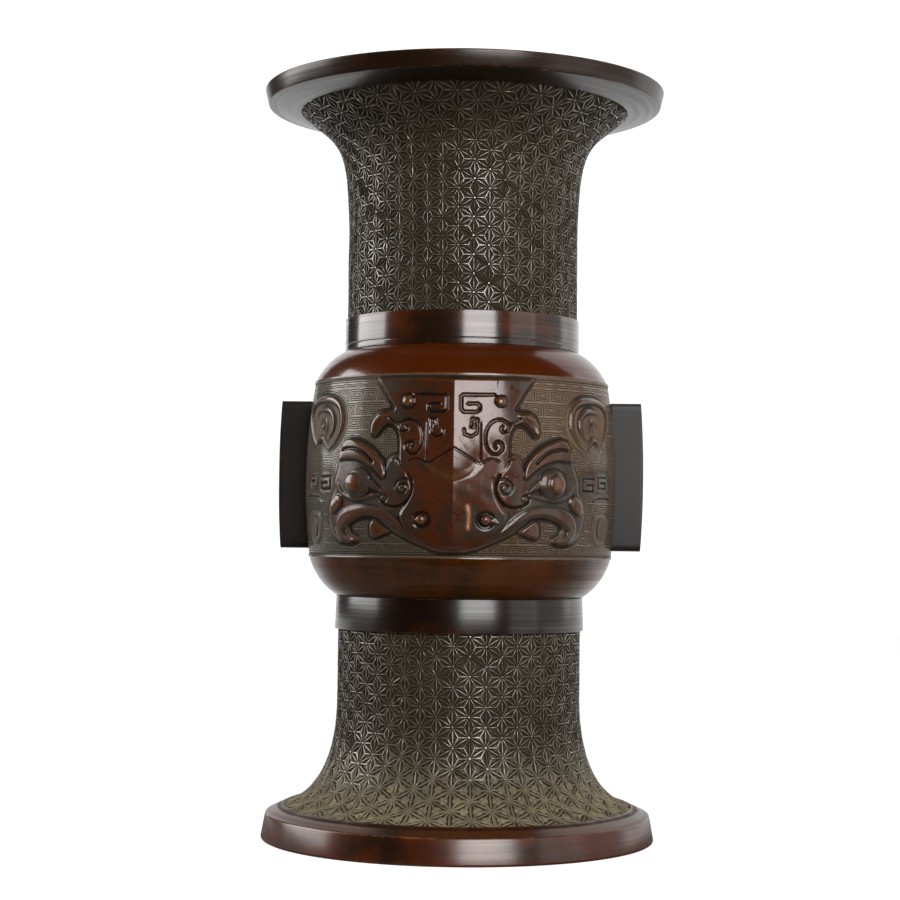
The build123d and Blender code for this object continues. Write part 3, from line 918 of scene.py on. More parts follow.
    def build(self) -> bpy.types.Object:
        """Builds the tube with its diaper.

        Returns:
            The piece.
        """
        curve = self.section()
        rows, out = curve[0], curve[3]
        verts, faces, crest, rise = [], [], [], []
        start = 0
        for flat, lift, bare, pattern in (self.spokes(rows[-1]), self.hubs(rows[-1])):
            count, size = flat.shape[:2]
            verts.append(self.lay(flat, lift, *curve))
            faces.append((np.arange(count)[:, None, None] * size + pattern).reshape(-1, 3) + start)
            crest.append(bare.reshape(-1))
            rise.append(np.interp(flat[:, :, 1] / self.pitch, rows, out[:, 1]).reshape(-1))
            start += count * size
        shell, quads = revolve(self.shell(), self.segments)
        plain = np.zeros(len(shell))
        values = {Attr.CREST_AND_SHADE: np.concatenate(crest + [plain]), Attr.RISE: np.concatenate(rise + [plain])}
        name = f"{self.node}_diaper"
        piece = add_mesh(name, np.concatenate(verts + [shell]), faces + [quads + start], values)
        work = bmesh.new()
        work.from_mesh(piece.data)
        bmesh.ops.remove_doubles(work, verts=work.verts, dist=self.weld)
        bmesh.ops.dissolve_degenerate(work, edges=work.edges, dist=0.5 * self.weld)
        work.to_mesh(piece.data)
        work.free()
        piece.data.set_sharp_from_angle(angle=math.radians(self.crisp))
        return piece

    def dress(self, piece: bpy.types.Object, material: bpy.types.Material) -> None:
        """Gives the piece its finish and its place."""
        settle(piece, self.node, material)


def smooth_line(points: Points, steps: int = 8) -> Array:
    """Smooth curve through points.

    Args:
        points: the points in order.
        steps: pieces between two of them.

    Returns:
        Points along the curve.
    """
    p = np.array(points, dtype=float)
    if len(p) < 3:
        return p
    ends = np.concatenate([[2 * p[0] - p[1]], p, [2 * p[-1] - p[-2]]])
    t = np.linspace(0, 1, steps, endpoint=False)[:, None]
    spans = []
    for a, b, c, d in zip(ends, ends[1:], ends[2:], ends[3:]):
        bend = (2 * a - 5 * b + 4 * c - d) * t**2 + (3 * b - a - 3 * c + d) * t**3
        spans.append(0.5 * (2 * b + (c - a) * t + bend))
    return np.concatenate(spans + [p[-1:]])


def loop(points: list[Point], steps: int = 5) -> Array:
    """Smooth closed outline through points."""
    return smooth_line(points + points[:1], steps)


def raised(shape: Array, base: float, top: float) -> Array:
    """Height of a form on its base, and a depth that never shows outside the form."""
    return np.where(shape > 0, base + top * shape, -9.0)


class Field:
    """Height of the relief over the drum's ground on a grid, in millimetres.

    The margin is measured round each motif, and the clearance stands for ground with no motif near it.
    A crown swells in over the swell run, and no ridge is narrower than the least half width.
    """

    margin = 6.0
    clearance = 50.0
    swell_run = 3.0
    least_half = 0.05

    def __init__(self, s: Array, h: Array) -> None:
        """Starts with bare ground.

        Args:
            s: distance round the drum from the mask's centre line.
            h: height over the drum's lower edge.
        """
        self.across = s
        self.s = np.abs(s)
        self.h = h
        self.edge = np.full_like(s, self.clearance)
        self.height, self.smooth, self.rub, self.matt = (np.zeros_like(s) for _ in range(4))

    def near(self, line: Array, reach: float) -> Array:
        """Mask of the grid points that lie within reach of a line's box."""
        low, high = line.min(axis=0) - reach, line.max(axis=0) + reach
        return (self.s > low[0]) & (self.s < high[0]) & (self.h > low[1]) & (self.h < high[1])

    def along(self, line: Array, keep: Array) -> tuple[Array, Array]:
        """Distance from a line and how far along it the nearest point lies.

        Args:
            line: points of the line.
            keep: which grid points to measure.

        Returns:
            Distance, and share of the line's length.
        """
        x, y = self.s[keep], self.h[keep]
        best = np.full(x.shape, 1e9)
        where = np.zeros(x.shape)
        lengths = np.linalg.norm(np.diff(line, axis=0), axis=1)
        total = max(lengths.sum(), 1e-6)
        done = 0.0
        for a, b, size in zip(line[:-1], line[1:], lengths):
            d = b - a
            t = np.clip(((x - a[0]) * d[0] + (y - a[1]) * d[1]) / max(size**2, 1e-9), 0, 1)
            gap = np.hypot(x - a[0] - t * d[0], y - a[1] - t * d[1])
            closer = gap < best
            best = np.where(closer, gap, best)
            where = np.where(closer, (done + t * size) / total, where)
            done += size
        return best, where

    def inside(self, outline: Array, keep: Array) -> Array:
        """Signed distance into a closed outline.

        Args:
            outline: points of the outline.
            keep: which grid points to measure.

        Returns:
            Distance from the outline, negative outside it.
        """
        closed = np.concatenate([outline, outline[:1]])
        gap, _ = self.along(closed, keep)
        x, y = self.s[keep], self.h[keep]
        odd = np.zeros(x.shape, dtype=bool)
        for a, b in zip(closed[:-1], closed[1:]):
            spans = (a[1] > y) != (b[1] > y)
            if a[1] != b[1]:
                odd ^= spans & (x < (b[0] - a[0]) * (y - a[1]) / (b[1] - a[1]) + a[0])
        return np.where(odd, gap, -gap)

    def lift(self, keep: Any, level: Array, rub: Array, gap: Array) -> None:
        """Raises part of the grid.

        Args:
            keep: which grid points.
            level: height that they reach at least.
            rub: wear that they reach at least.
            gap: their distance from the motif, which the fret keeps clear of.
        """
        self.height[keep] = np.maximum(self.height[keep], level)
        self.rub[keep] = np.maximum(self.rub[keep], rub)
        self.edge[keep] = np.minimum(self.edge[keep], np.clip(gap, 0, None))

    def plate(self, outline: Array, top: Level, bevel: float, crown: float = 0.0, rub: float = 0.3) -> None:
        """Raises a plate with sloping sides.

        Args:
            outline: closed outline.
            top: height of the plate, a number or a function of s and h.
            bevel: width of its sloping side.
            crown: extra height that swells in from the edge.
            rub: wear of its top.
        """
        keep = self.near(outline, self.margin)
        deep = self.inside(outline, keep)
        rise = np.clip(deep / bevel + 0.5, 0, 1)
        rise = rise * rise * (3 - 2 * rise)
        level = top(self.s[keep], self.h[keep]) if callable(top) else top
        swell = crown * (1 - np.exp(-np.clip(deep, 0, None) / self.swell_run))
        self.lift(keep, (level + swell) * rise, rub * rise, -deep)

    def trace(self, points: Points, widths: Sequence[float]) -> tuple[Array, Array, Array]:
        """Measures the grid along a curve.

        Args:
            points: the curve.
            widths: half width at even steps along it.

        Returns:
            Which grid points lie near, their distance from the curve and its half width beside them.
        """
        line = smooth_line(points)
        keep = self.near(line, max(widths) + self.margin)
        gap, where = self.along(line, keep)
        return keep, gap, np.interp(where, np.linspace(0, 1, len(widths)), widths)

    def ridge(self, points: Points, widths: Sequence[float], top: float, base: float, rub: float) -> None:
        """Raises a rounded ridge along a curve.

        Args:
            points: the curve.
            widths: half width at even steps along it.
            top: height over the base.
            base: height of the ground that it stands on.
            rub: wear of its top.
        """
        keep, gap, half = self.trace(points, widths)
        shape = np.sqrt(np.clip(1 - (gap / np.maximum(half, self.least_half)) ** 2, 0, 1))
        self.lift(keep, raised(shape, base, top), rub * shape**2, gap - half)

    def band(
        self, points: Points, widths: Sequence[float], bevel: float, top: float, base: float, rub: float
    ) -> None:
        """Raises a flat-topped band with soft sides along a curve.

        Args:
            points: the curve.
            widths: half width at even steps along it.
            bevel: width of its soft side.
            top: height over the base.
            base: height of the ground that it stands on.
            rub: wear of its top.
        """
        keep, gap, half = self.trace(points, widths)
        shape = np.sin(0.5 * math.pi * np.clip((half - gap) / bevel, 0, 1))
        self.lift(keep, raised(shape, base, top), rub * shape, gap - half)

    def dome(self, centre: Point, radius: Point, top: float, base: float, rub: float) -> None:
        """Raises a round or oval boss.

        Args:
            centre: its middle.
            radius: half its width and half its height.
            top: height over its base.
            base: height of the ground that it stands on.
            rub: wear of its top.
        """
        gap = np.hypot((self.s - centre[0]) / radius[0], (self.h - centre[1]) / radius[1])
        shape = np.sqrt(np.clip(1 - gap**2, 0, 1))
        self.lift(..., raised(shape, base, top), rub * shape**1.5, (gap - 1) * min(radius))

    def strip(
        self, points: Points, half: float, curved: bool = True, right: bool = False
    ) -> tuple[Array, Array]:
        """Measures a strip of the grid.

        Args:
            points: the strip's middle line.
            half: half its width.
            curved: whether the line is smooth or runs straight from point to point.
            right: whether the strip lies on the right half of the mask only.

        Returns:
            Which grid points lie near, and their distance from the line as a share of the half width.
        """
        line = smooth_line(points) if curved else np.array(points, dtype=float)
        keep = self.near(line, half)
        if right:
            keep &= self.across > 0
        return keep, self.along(line, keep)[0] / half

    def stain(self, points: Points, half: float, rub: float, right: bool = False) -> None:
        """Wears a strip of the surface without changing its height."""
        keep, gap = self.strip(points, half, right=right)
        self.rub[keep] = np.maximum(self.rub[keep], rub * np.clip(1 - gap**2, 0, 1))

    def dim(self, points: Points, half: float, share: float) -> None:
        """Dulls a strip of the surface without changing its height."""
        keep, gap = self.strip(points, half)
        self.matt[keep] = np.maximum(self.matt[keep], share * np.clip(1.6 * (1 - gap), 0, 1))

    def groove(self, points: Points, half: float, depth: float, curved: bool = True) -> None:
        """Cuts a rounded groove along a smooth or straight line."""
        keep, gap = self.strip(points, half, curved)
        self.height[keep] -= depth * np.clip(1 - gap**2, 0, 1)

    def ring(self, centre: Point, radius: float, half: float, depth: float) -> None:
        """Cuts a round groove about a boss."""
        gap = np.abs(np.hypot(self.s - centre[0], self.h - centre[1]) - radius)
        self.height -= depth * np.clip(1 - (gap / half) ** 2, 0, 1)

    def calm(self, outline: Array, soft: float) -> None:
        """Leaves a patch of ground smooth, without fret.

        Args:
            outline: closed outline of the patch.
            soft: width over which the fret fades.
        """
        keep = self.near(outline, soft)
        patch = np.clip(self.inside(outline, keep) / soft + 0.5, 0, 1)
        self.smooth[keep] = np.maximum(self.smooth[keep], patch)


def fall(value: Array, start: float, run: float) -> Array:
    """Share from 0 to 1 as a value falls from a start through a run."""
    return np.clip((start - value) / run, 0, 1)


@dataclass
class MaskRelief:
    """The animal mask of one side of the drum, drawn on its unrolled right half.

    Points are millimetres from the centre line and over the drum's lower edge.
    """

    field: Field
    radius: float
    body_top: float = 0.9
    plate_top: float = 1.6
    crest: float = 3.3
    lean: float = 0.17
    bow: float = 0.009
    top_lean: float = 0.226
    muzzle_top: float = 2.7
    muzzle_lean: float = 0.175
    top_border: float = 68.7
    low_border: float = 1.0
    past_middle: float = -3.0

    def facet(self, crest: Callable[[Array], Array], lean: Level) -> Surface:
        """Face that leans back from a crest on the centre line.

        Args:
            crest: height of the crest as a function of h.
            lean: slope of the face, a number or a function of s and h.

        Returns:
            Height over the round ground as a function of s and h.
        """

        def level(s: Array, h: Array) -> Array:
            """Height of the face.

            Args:
                s: distance from the centre line.
                h: height over the drum's lower edge.

            Returns:
                The height over the round ground.
            """
            turn = s / self.radius
            slope = lean(s, h) if callable(lean) else lean
            return (self.radius + crest(h)) / (np.cos(turn) + slope * np.sin(turn)) - self.radius

        return level

    def across(self, edge: Array) -> Array:
        """Outline of a form that crosses the centre line, from the edge of its right half."""
        ends = [[(self.past_middle, edge[k, 1])] for k in (0, -1)]
        return np.concatenate([ends[0], edge, ends[1]])

    def draw(self) -> None:
        """Draws the whole mask, large forms first."""
        steps = (self.body, self.face, self.muzzle, self.cheek, self.eye, self.jaw, self.ear)
        for step in steps + (self.forehead_keys, self.scrolls, self.side_keys, self.borders):
            step()

    def body(self) -> None:
        """Smooth low body that joins muzzle, cheek, eye socket and jaw."""
        chin = [(0.0, 2.7), (7.3, 3.6), (17.7, 7.7), (24.7, 11.2), (30.5, 14.9), (35.6, 15.8), (41.5, 14.8)]
        hook = [(44.1, 12.0), (43.4, 9.4), (40.0, 7.1), (44.9, 5.8), (50.6, 6.6), (55.0, 11.0), (56.2, 17.6)]
        temple = [(54.9, 22.2), (52.6, 25.6), (52.2, 29.5), (50.5, 33.4), (48.6, 37.6), (42.0, 39.0)]
        socket = [(33.0, 37.0), (27.6, 33.4), (26.4, 35.6), (23.8, 38.2), (20.0, 39.0)]
        outline = self.across(smooth_line(chin + hook + temple + socket, 5))
        self.field.plate(outline, self.body_top, 2.2, rub=0.18)

    def face(self) -> None:
        """Shield-shaped face plate with its horns, and the ridged forehead on it."""
        shield = [(32.2, 68.2), (28.4, 63.6), (25.4, 59.4), (23.4, 56.4), (25.6, 55.5), (29.4, 55.1)]
        horn = [(31.8, 53.5), (33.1, 50.8), (33.2, 48.2), (32.1, 46.3), (30.6, 47.6), (28.0, 50.2)]
        horn += [(25.4, 51.0), (23.2, 50.0)]
        side = [(21.6, 47.4), (20.7, 43.8), (20.7, 39.2), (20.2, 34.6), (17.4, 30.6), (15.2, 25.0)]
        gable = [(17.0, 67.6), (16.0, 55.6), (10.8, 53.6), (9.8, 49.0), (9.8, 43.5), (10.0, 35.8)]
        gable += [(6.0, 31.4), (0.0, 28.7)]

        def sink(s: Array, h: Array) -> Array:
            """Height of the plate, which sinks into the muzzle."""
            return self.plate_top - 0.9 * fall(h, 31, 6)

        def brow(h: Array) -> Array:
            """Height of the forehead's ridge, which dips towards the nose."""
            return self.crest - 0.6 * fall(h, 37, 8) ** 2

        def lean(s: Array, h: Array) -> Array:
            """Slope of the forehead, flat at its top and bowed lower down."""
            return self.top_lean + fall(h, 60, 16) * (self.lean - self.top_lean + self.bow * s)

        self.field.plate(self.across(smooth_line(shield + horn + side, 5)), sink, 1.5, 0.15, 0.34)
        crook = [(25.4, 53.6), (29.2, 53.2), (31.8, 50.6), (32.5, 47.2)]
        self.field.ridge(crook, [1.0, 1.5, 1.2, 0.5], top=0.6, base=1.4, rub=0.75)
        self.field.plate(self.across(np.array(gable)), self.facet(brow, lean), 0.7, rub=0.3)
        self.field.dome((17.6, 59.3), (2.3, 2.3), top=1.7, base=1.7, rub=1.15)
        self.field.stain([(9.0, 35.0), (6.0, 32.3), (0.0, 30.2)], 2.6, 1.05)

    def muzzle(self) -> None:
        """Rounded muzzle under the forehead's point, with its nostrils."""
        side = [(13.4, 37.0), (14.8, 33.6), (15.5, 30.6), (16.0, 27.6), (16.2, 24.6), (18.0, 20.6)]
        lip = [(20.4, 16.4), (18.8, 11.0), (14.6, 7.2), (8.0, 4.4), (0.0, 3.2)]

        def swell(h: Array) -> Array:
            """Height of the muzzle's ridge."""
            return self.muzzle_top - 0.25 * fall(h, 30, 16) - 0.8 * fall(h, 12, 9) ** 2

        outline = self.across(smooth_line(side + lip, 5))
        self.field.plate(outline, self.facet(swell, self.muzzle_lean), 3.4, rub=0.1)
        nostril = (11.9, 14.6)
        self.field.ring(nostril, 2.6, 1.1, 0.5)
        self.field.dome(nostril, (1.9, 1.9), top=1.5, base=2.0, rub=1.1)
        wing = [(13.0, 14.5), (15.0, 14.2), (16.6, 13.4)]
        self.field.ridge(wing, [1.5, 1.3, 0.8], top=0.9, base=1.0, rub=0.9)
        self.field.stain([(5.4, 19.8), (5.8, 16.0), (5.5, 11.4)], 1.4, 1.9, right=True)
        self.field.dim([(9.4, 37.0), (6.6, 32.0), (6.0, 25.0), (6.4, 18.0)], 9.5, 0.92)
        self.field.dim([(14.2, 42.0), (13.6, 35.0), (13.0, 27.0)], 6.0, 0.9)

    def cheek(self) -> None:
        """Cheek with its engraved volute."""
        top = [(21.0, 37.4), (20.2, 34.7), (18.1, 32.4), (16.3, 30.3)]
        rim = [(15.7, 27.8), (15.9, 24.6), (18.0, 21.3), (22.0, 19.5)]
        back = [(26.3, 20.0), (29.4, 22.4), (29.6, 26.4), (27.4, 30.4), (26.4, 34.0), (23.8, 37.8)]
        coil = [(16.6, 30.0), (18.9, 30.0), (21.3, 28.8), (21.9, 26.4), (20.4, 24.6), (18.2, 25.0)]
        coil += [(17.4, 27.0), (18.8, 28.2), (20.2, 27.2), (19.6, 26.0)]

        def slope(s: Array, h: Array) -> Array:
            """Height of the cheek, which sinks into the eye socket."""
            return 0.9 + 0.7 * fall(s, 28, 8)

        self.field.plate(loop(top + rim + back), slope, 1.2, 0.1, 0.2)
        crest = [(21.6, 37.0), (20.6, 34.4), (18.5, 32.0), (16.9, 30.0)]
        self.field.ridge(crest, [0.5, 0.8, 0.8, 0.5], top=0.55, base=1.4, rub=0.5)
        self.field.groove([(17.0, 31.4)] + rim + [(26.0, 20.0), (28.4, 21.4)], 0.6, 1.0)
        self.field.groove(coil, 0.48, 0.6)
        self.field.ring((27.4, 22.6), 1.5, 0.5, 0.5)

    def eye(self) -> None:
        """Eyeball and pupil between the lids, under the double brow."""
        corner = [(28.6, 25.4), (32.0, 27.6), (35.0, 29.6), (38.0, 31.6)]
        self.field.ridge(corner, [0.5, 1.4, 1.9, 1.2], top=0.8, base=0.85, rub=0.3)
        lid = [(29.0, 24.0), (35.4, 23.0), (41.0, 22.6), (46.5, 24.4), (49.4, 28.0)]
        self.field.ridge(lid, [0.4, 0.9, 1.1, 1.0, 0.4], top=0.5, base=0.85, rub=0.22)
        self.field.dome((38.9, 28.4), (6.4, 6.0), top=2.4, base=0.6, rub=0.25)
        self.field.dome((39.9, 28.4), (3.6, 3.6), top=1.0, base=2.8, rub=1.25)
        upper = [(26.6, 30.0), (26.5, 32.6), (28.2, 36.8), (33.2, 41.6)]
        upper += [(38.4, 44.2), (43.0, 45.4), (46.2, 44.6)]
        lower = [(49.0, 36.9), (44.0, 37.3), (39.6, 37.0), (35.2, 35.6), (31.1, 32.9), (27.4, 29.8)]
        brow = np.concatenate([smooth_line(upper, 5), [(48.4, 40.5)], smooth_line(lower, 5)])
        self.field.plate(brow, 1.75, 1.3, 0.35, 0.55)
        self.field.groove([(31.8, 36.4), (35.3, 39.5), (38.6, 41.0), (42.4, 41.7), (46.6, 41.2)], 0.75, 1.0)
        drop = [(47.4, 23.6), (50.2, 24.2), (53.6, 21.8), (55.0, 18.8), (53.8, 17.0), (50.8, 17.2)]
        self.field.plate(loop(drop + [(48.0, 19.4), (46.8, 21.6)]), 1.5, 1.6, 0.7, 0.75)

    def jaw(self) -> None:
        """Jaw that runs from the muzzle into its hook, with the fang and the leaf beside it."""
        line = [(16.0, 8.6), (18.4, 10.2), (22.7, 13.5), (28.4, 16.9), (34.5, 18.0), (40.5, 17.4)]
        line += [(45.9, 15.3), (49.0, 11.8), (47.6, 8.2), (43.6, 6.7), (40.4, 7.1)]
        widths = [0.8, 1.5, 2.0, 2.2, 2.1, 2.4, 2.9, 3.3, 2.6, 1.5, 0.5]
        self.field.band(line, widths, 1.8, top=0.75, base=0.85, rub=0.5)
        fang = [(25.4, 10.3), (28.6, 12.4), (31.8, 14.4), (33.6, 12.2), (33.2, 8.1), (29.8, 8.4)]
        self.field.plate(loop(fang), 0.95, 1.1, 0.2, 0.7)
        leaf = [(64.2, 17.4), (62.9, 12.5), (64.1, 7.8), (68.1, 5.6), (73.9, 6.2), (77.8, 10.6), (77.4, 15.0)]
        self.field.plate(loop(leaf + [(71.5, 17.8)]), 0.45, 1.8, 0.15, 0.12)
        self.field.groove([(67.4, 15.6), (66.2, 12.0), (67.4, 8.4)], 0.7, 0.35)

    def ear(self) -> None:
        """Hollowed ear of nested bands."""
        lobe = [(57.1, 40.8), (52.1, 43.2), (48.5, 47.0), (47.2, 51.6), (48.4, 57.0), (52.6, 61.2)]
        lobe += [(60.0, 63.0), (69.8, 62.8), (77.1, 60.4), (78.6, 55.6), (75.0, 49.2), (67.9, 42.9)]
        self.field.plate(loop(lobe + [(65.4, 44.8), (62.9, 45.6), (59.9, 43.2)], 4), 0.35, 1.4, rub=0.1)
        rim = [(57.0, 41.8), (52.6, 44.6), (50.0, 48.6), (49.3, 53.0), (51.2, 57.8), (55.6, 60.6)]
        rim += [(61.8, 61.6), (69.5, 61.2), (75.3, 58.8), (76.8, 54.5), (73.5, 49.0), (68.0, 43.6)]
        self.field.band(rim, [0.5, 1.0, 1.3, 1.3, 1.1, 0.8, 0.5], 1.0, top=1.0, base=0.2, rub=0.5)
        inner = [(58.6, 44.6), (55.4, 48.2), (54.6, 52.4), (57.2, 56.2)]
        inner += [(62.0, 57.6), (67.6, 56.6), (70.4, 53.4)]
        self.field.band(inner, [0.3, 0.8, 1.1, 1.1, 0.8, 0.6, 0.3], 0.8, top=0.85, base=0.25, rub=0.35)
        core = [(60.6, 46.8), (59.2, 50.0), (60.8, 53.4), (64.2, 53.8), (66.0, 51.4)]
        self.field.band(core, [0.3, 0.6, 0.7, 0.5, 0.3], 0.6, top=0.7, base=0.25, rub=0.3)
        self.field.dome((62.8, 50.6), (1.2, 1.2), top=0.7, base=0.3, rub=0.3)
        notch = [(57.4, 41.6), (62.9, 46.4), (67.6, 43.6)]
        self.field.band(notch, [0.4, 1.0, 0.5], 0.8, top=0.7, base=0.3, rub=0.3)

    def forehead_keys(self) -> None:
        """Square key scrolls engraved on the forehead."""
        key = [(15.4, 61.8), (3.2, 61.6), (2.6, 60.8), (2.6, 56.2), (3.6, 55.1), (8.6, 55.2), (9.7, 56.2)]
        self.field.groove(key, 0.6, 0.7, False)
        self.field.groove([(9.7, 56.2), (9.7, 57.6), (8.8, 58.4), (5.2, 58.2)], 0.6, 0.7, False)
        hook = [(3.7, 48.6), (4.0, 46.6), (6.5, 45.8), (8.6, 47.2), (8.8, 52.4), (6.7, 52.7), (6.3, 49.4)]
        self.field.groove(hook, 0.55, 0.65, False)
        self.field.groove([(6.3, 49.4), (7.5, 49.2), (7.6, 50.6)], 0.45, 0.5, False)

    def scrolls(self) -> None:
        """C-scroll, brow lines and scratches beside and under the keys."""
        scroll = [(25.4, 53.0), (22.2, 50.8), (20.4, 51.2), (17.8, 52.4), (14.5, 51.6), (12.2, 48.6)]
        scroll += [(11.6, 45.0), (12.3, 41.8), (14.2, 39.5), (16.4, 39.5), (18.2, 41.4), (17.9, 43.4)]
        self.field.groove(scroll + [(16.1, 44.0), (15.0, 42.8), (15.6, 41.6)], 0.62, 0.8)
        self.field.groove([(21.4, 51.0), (20.6, 48.3), (18.5, 47.8), (17.5, 49.0), (18.4, 49.8)], 0.55, 0.7)
        brow = [(9.9, 51.0), (10.0, 43.5), (10.2, 36.4), (12.4, 37.2), (14.6, 37.6), (17.0, 36.4)]
        self.field.groove(brow, 0.4, 0.45)
        self.field.groove([(-0.4, 41.8), (9.8, 35.5)], 0.4, 0.45, False)
        self.field.groove([(2.2, 45.6), (5.4, 40.8)], 0.22, 0.25, False)

    def side_keys(self) -> None:
        """Keys engraved on a smooth patch behind the eye."""
        for left, right, low, high in ((56.0, 62.8, 26.4, 31.2), (66.8, 73.2, 27.8, 32.0)):
            mid = 0.5 * (low + high)
            key = [(right, high), (left, high), (left, low), (right, low), (right, mid), (left + 2.4, mid)]
            self.field.groove(key, 0.5, 0.6, False)
        self.field.groove([(62.4, 22.1), (65.6, 23.4), (73.3, 24.0), (79.3, 23.4)], 0.45, 0.5)
        patch = [(53.0, 24.0), (54.0, 34.0), (60.0, 35.0), (78.0, 35.0), (80.0, 25.0), (66.0, 24.0)]
        self.field.calm(loop(patch), 3.0)

    def borders(self) -> None:
        """Narrow raised borders along the band's edges."""
        past = np.maximum(self.field.h - self.top_border, self.low_border - self.field.h)
        rim = np.clip(past / 0.5, 0, 1)
        self.field.lift(..., raised(rim, 0.0, 0.45), 0.75 * rim, -past)


def box_blur(a: Array, n: int) -> Array:
    """Mean over a square of grid points.

    Args:
        a: values on the grid.
        n: points that the square reaches to each side.

    Returns:
        The means.
    """
    width = 2 * n + 1
    for axis in (0, 1):
        pad = [(0, 0), (0, 0)]
        pad[axis] = (n + 1, n)
        total = np.cumsum(np.pad(a, pad, mode="edge"), axis=axis)
        here = np.arange(a.shape[axis])
        a = (np.take(total, here + width, axis=axis) - np.take(total, here, axis=axis)) / width
    return a


@dataclass
class MaskDrum:
    """Barrel-shaped band with a relief mask on its front half and another on its back half.

    Its full values are the heights and distances, in millimetres, at which an edge, a hollow or open
    ground counts as complete.
    """

    node: str = "mask_drum"
    low: float = 111.7
    band: float = 70.0
    belly_r: float = 62.3
    belly_h: float = 29.0
    curve_r: float = 231.5
    wall: float = 3.6
    columns: int = 531
    rows: int = 184
    cells: Point = (7.2, 5.4)
    uneven: float = 0.02
    seed: int = 5
    blur: int = 4
    full_edge: float = 0.5
    full_hollow: float = 0.25
    full_ground: float = 0.8
    most_wear: float = 1.4
    seam: float = 1.46
    seam_run: float = 0.05
    crisp: float = 75.0

    def radius(self, h: Array) -> Array:
        """Radius of the ground at a height over the band's lower edge."""
        return self.belly_r - self.curve_r + np.sqrt(self.curve_r**2 - (h - self.belly_h) ** 2)

    def fret(self, s: Array, h: Array, edge: Array) -> Array:
        """Distance that the fret's lines follow: square spirals on open ground, and round the motifs.

        Args:
            s: distance round the drum.
            h: height over the band's lower edge.
            edge: distance from the nearest motif.

        Returns:
            The distance at each point.
        """
        wide, tall = self.cells
        row = np.floor(h / tall)
        x = np.mod(s + 0.5 * wide * np.mod(row, 2), wide) - 0.5 * wide
        y = np.mod(h, tall) - 0.5 * tall
        square = np.minimum(0.5 * wide - np.abs(x), 0.5 * tall - np.abs(y))
        spiral = square + FRET_PITCH * np.arctan2(y * wide / tall, x) / FULL_TURN
        return np.where(edge < 2.5 * FRET_PITCH, edge, spiral)

    def half(self, name: str, turn: float) -> bpy.types.Object:
        """Builds one half of the drum.

        Args:
            name: name of the piece.
            turn: turn of the mask about the axis, in radians.

        Returns:
            The piece.
        """
        angle = np.linspace(-math.pi / 2, math.pi / 2, self.columns)
        h, angle = np.meshgrid(np.linspace(0, self.band, self.rows), angle, indexing="ij")
        s = angle * self.belly_r
        field = Field(s, h)
        MaskRelief(field, self.belly_r).draw()
        height = field.height + self.uneven * ripple(angle * 4, h / 14, self.seed)
        # Convex edges over the blurred height are worn, and hollows under it take painted shade.
        curve = height - box_blur(height, self.blur)
        rub = field.rub * np.clip(height, 0, 1)
        worn = rub + np.clip(curve / self.full_edge, 0, 1) * 0.7
        # The drum's edges beside the flanges take painted shade and no fret.
        seam = np.clip((np.abs(angle) - self.seam) / self.seam_run, 0, 1)
        open_ground = np.clip(field.edge / self.full_ground, 0, 1) * (1 - field.smooth)
        painted = {
            Attr.WEAR: np.maximum(rub, np.clip(worn, 0, self.most_wear)),
            Attr.HOLLOW_SHADE: np.maximum(np.clip(-curve / self.full_hollow, 0, 1), 0.8 * seam),
            Attr.FRET: open_ground * (1 - seam),
            Attr.LINES: self.fret(s, h, field.edge),
            Attr.SMOOTH: np.maximum(field.smooth, np.clip(height / self.full_ground, 0, 1)),
            Attr.MATT: field.matt,
        }
        ground, turned, z = self.radius(h), angle + turn, h + self.low
        back = [0, self.rows // 2, self.rows - 1]
        outer = spin(ground + height, turned, z)
        inner = spin(ground[back] - self.wall, turned[back], z[back])
        values = {}
        for key, value in painted.items():
            plain = np.full(len(inner), float(key is Attr.SMOOTH))
            values[key] = np.concatenate([value.reshape(-1), plain])
        piece = add_mesh(name, np.concatenate([outer, inner]), [self.skin()], values)
        piece.data.set_sharp_from_angle(angle=math.radians(self.crisp))
        return piece

    def skin(self) -> Array:
        """Quads of one half: relief outside, bore inside, and the edges between them.

        Returns:
            The quads.
        """
        m = self.columns
        start = self.rows * m
        j = np.arange(m - 1)
        i = np.arange(self.rows - 1)[:, None] * m + j
        front = np.stack([i, i + 1, i + m + 1, i + m], -1).reshape(-1, 4)
        i = start + np.arange(2)[:, None] * m + j
        rear = np.stack([i, i + m, i + m + 1, i + 1], -1).reshape(-1, 4)
        foot = np.stack([j, start + j, start + j + 1, j + 1], -1)
        top, bore = start - m + j, start + 2 * m + j
        head = np.stack([top, top + 1, bore + 1, bore], -1)
        return np.concatenate([front, rear, foot, head])

    def build(self) -> list[bpy.types.Object]:
        """Builds the front and the back half."""
        return [self.half("mask_drum_front", 0.0), self.half("mask_drum_back", math.pi)]

    def dress(self, pieces: Sequence[bpy.types.Object], material: bpy.types.Material) -> None:
        """Gives both halves their finish and their place."""
        for piece in pieces:
            settle(piece, self.node, material)


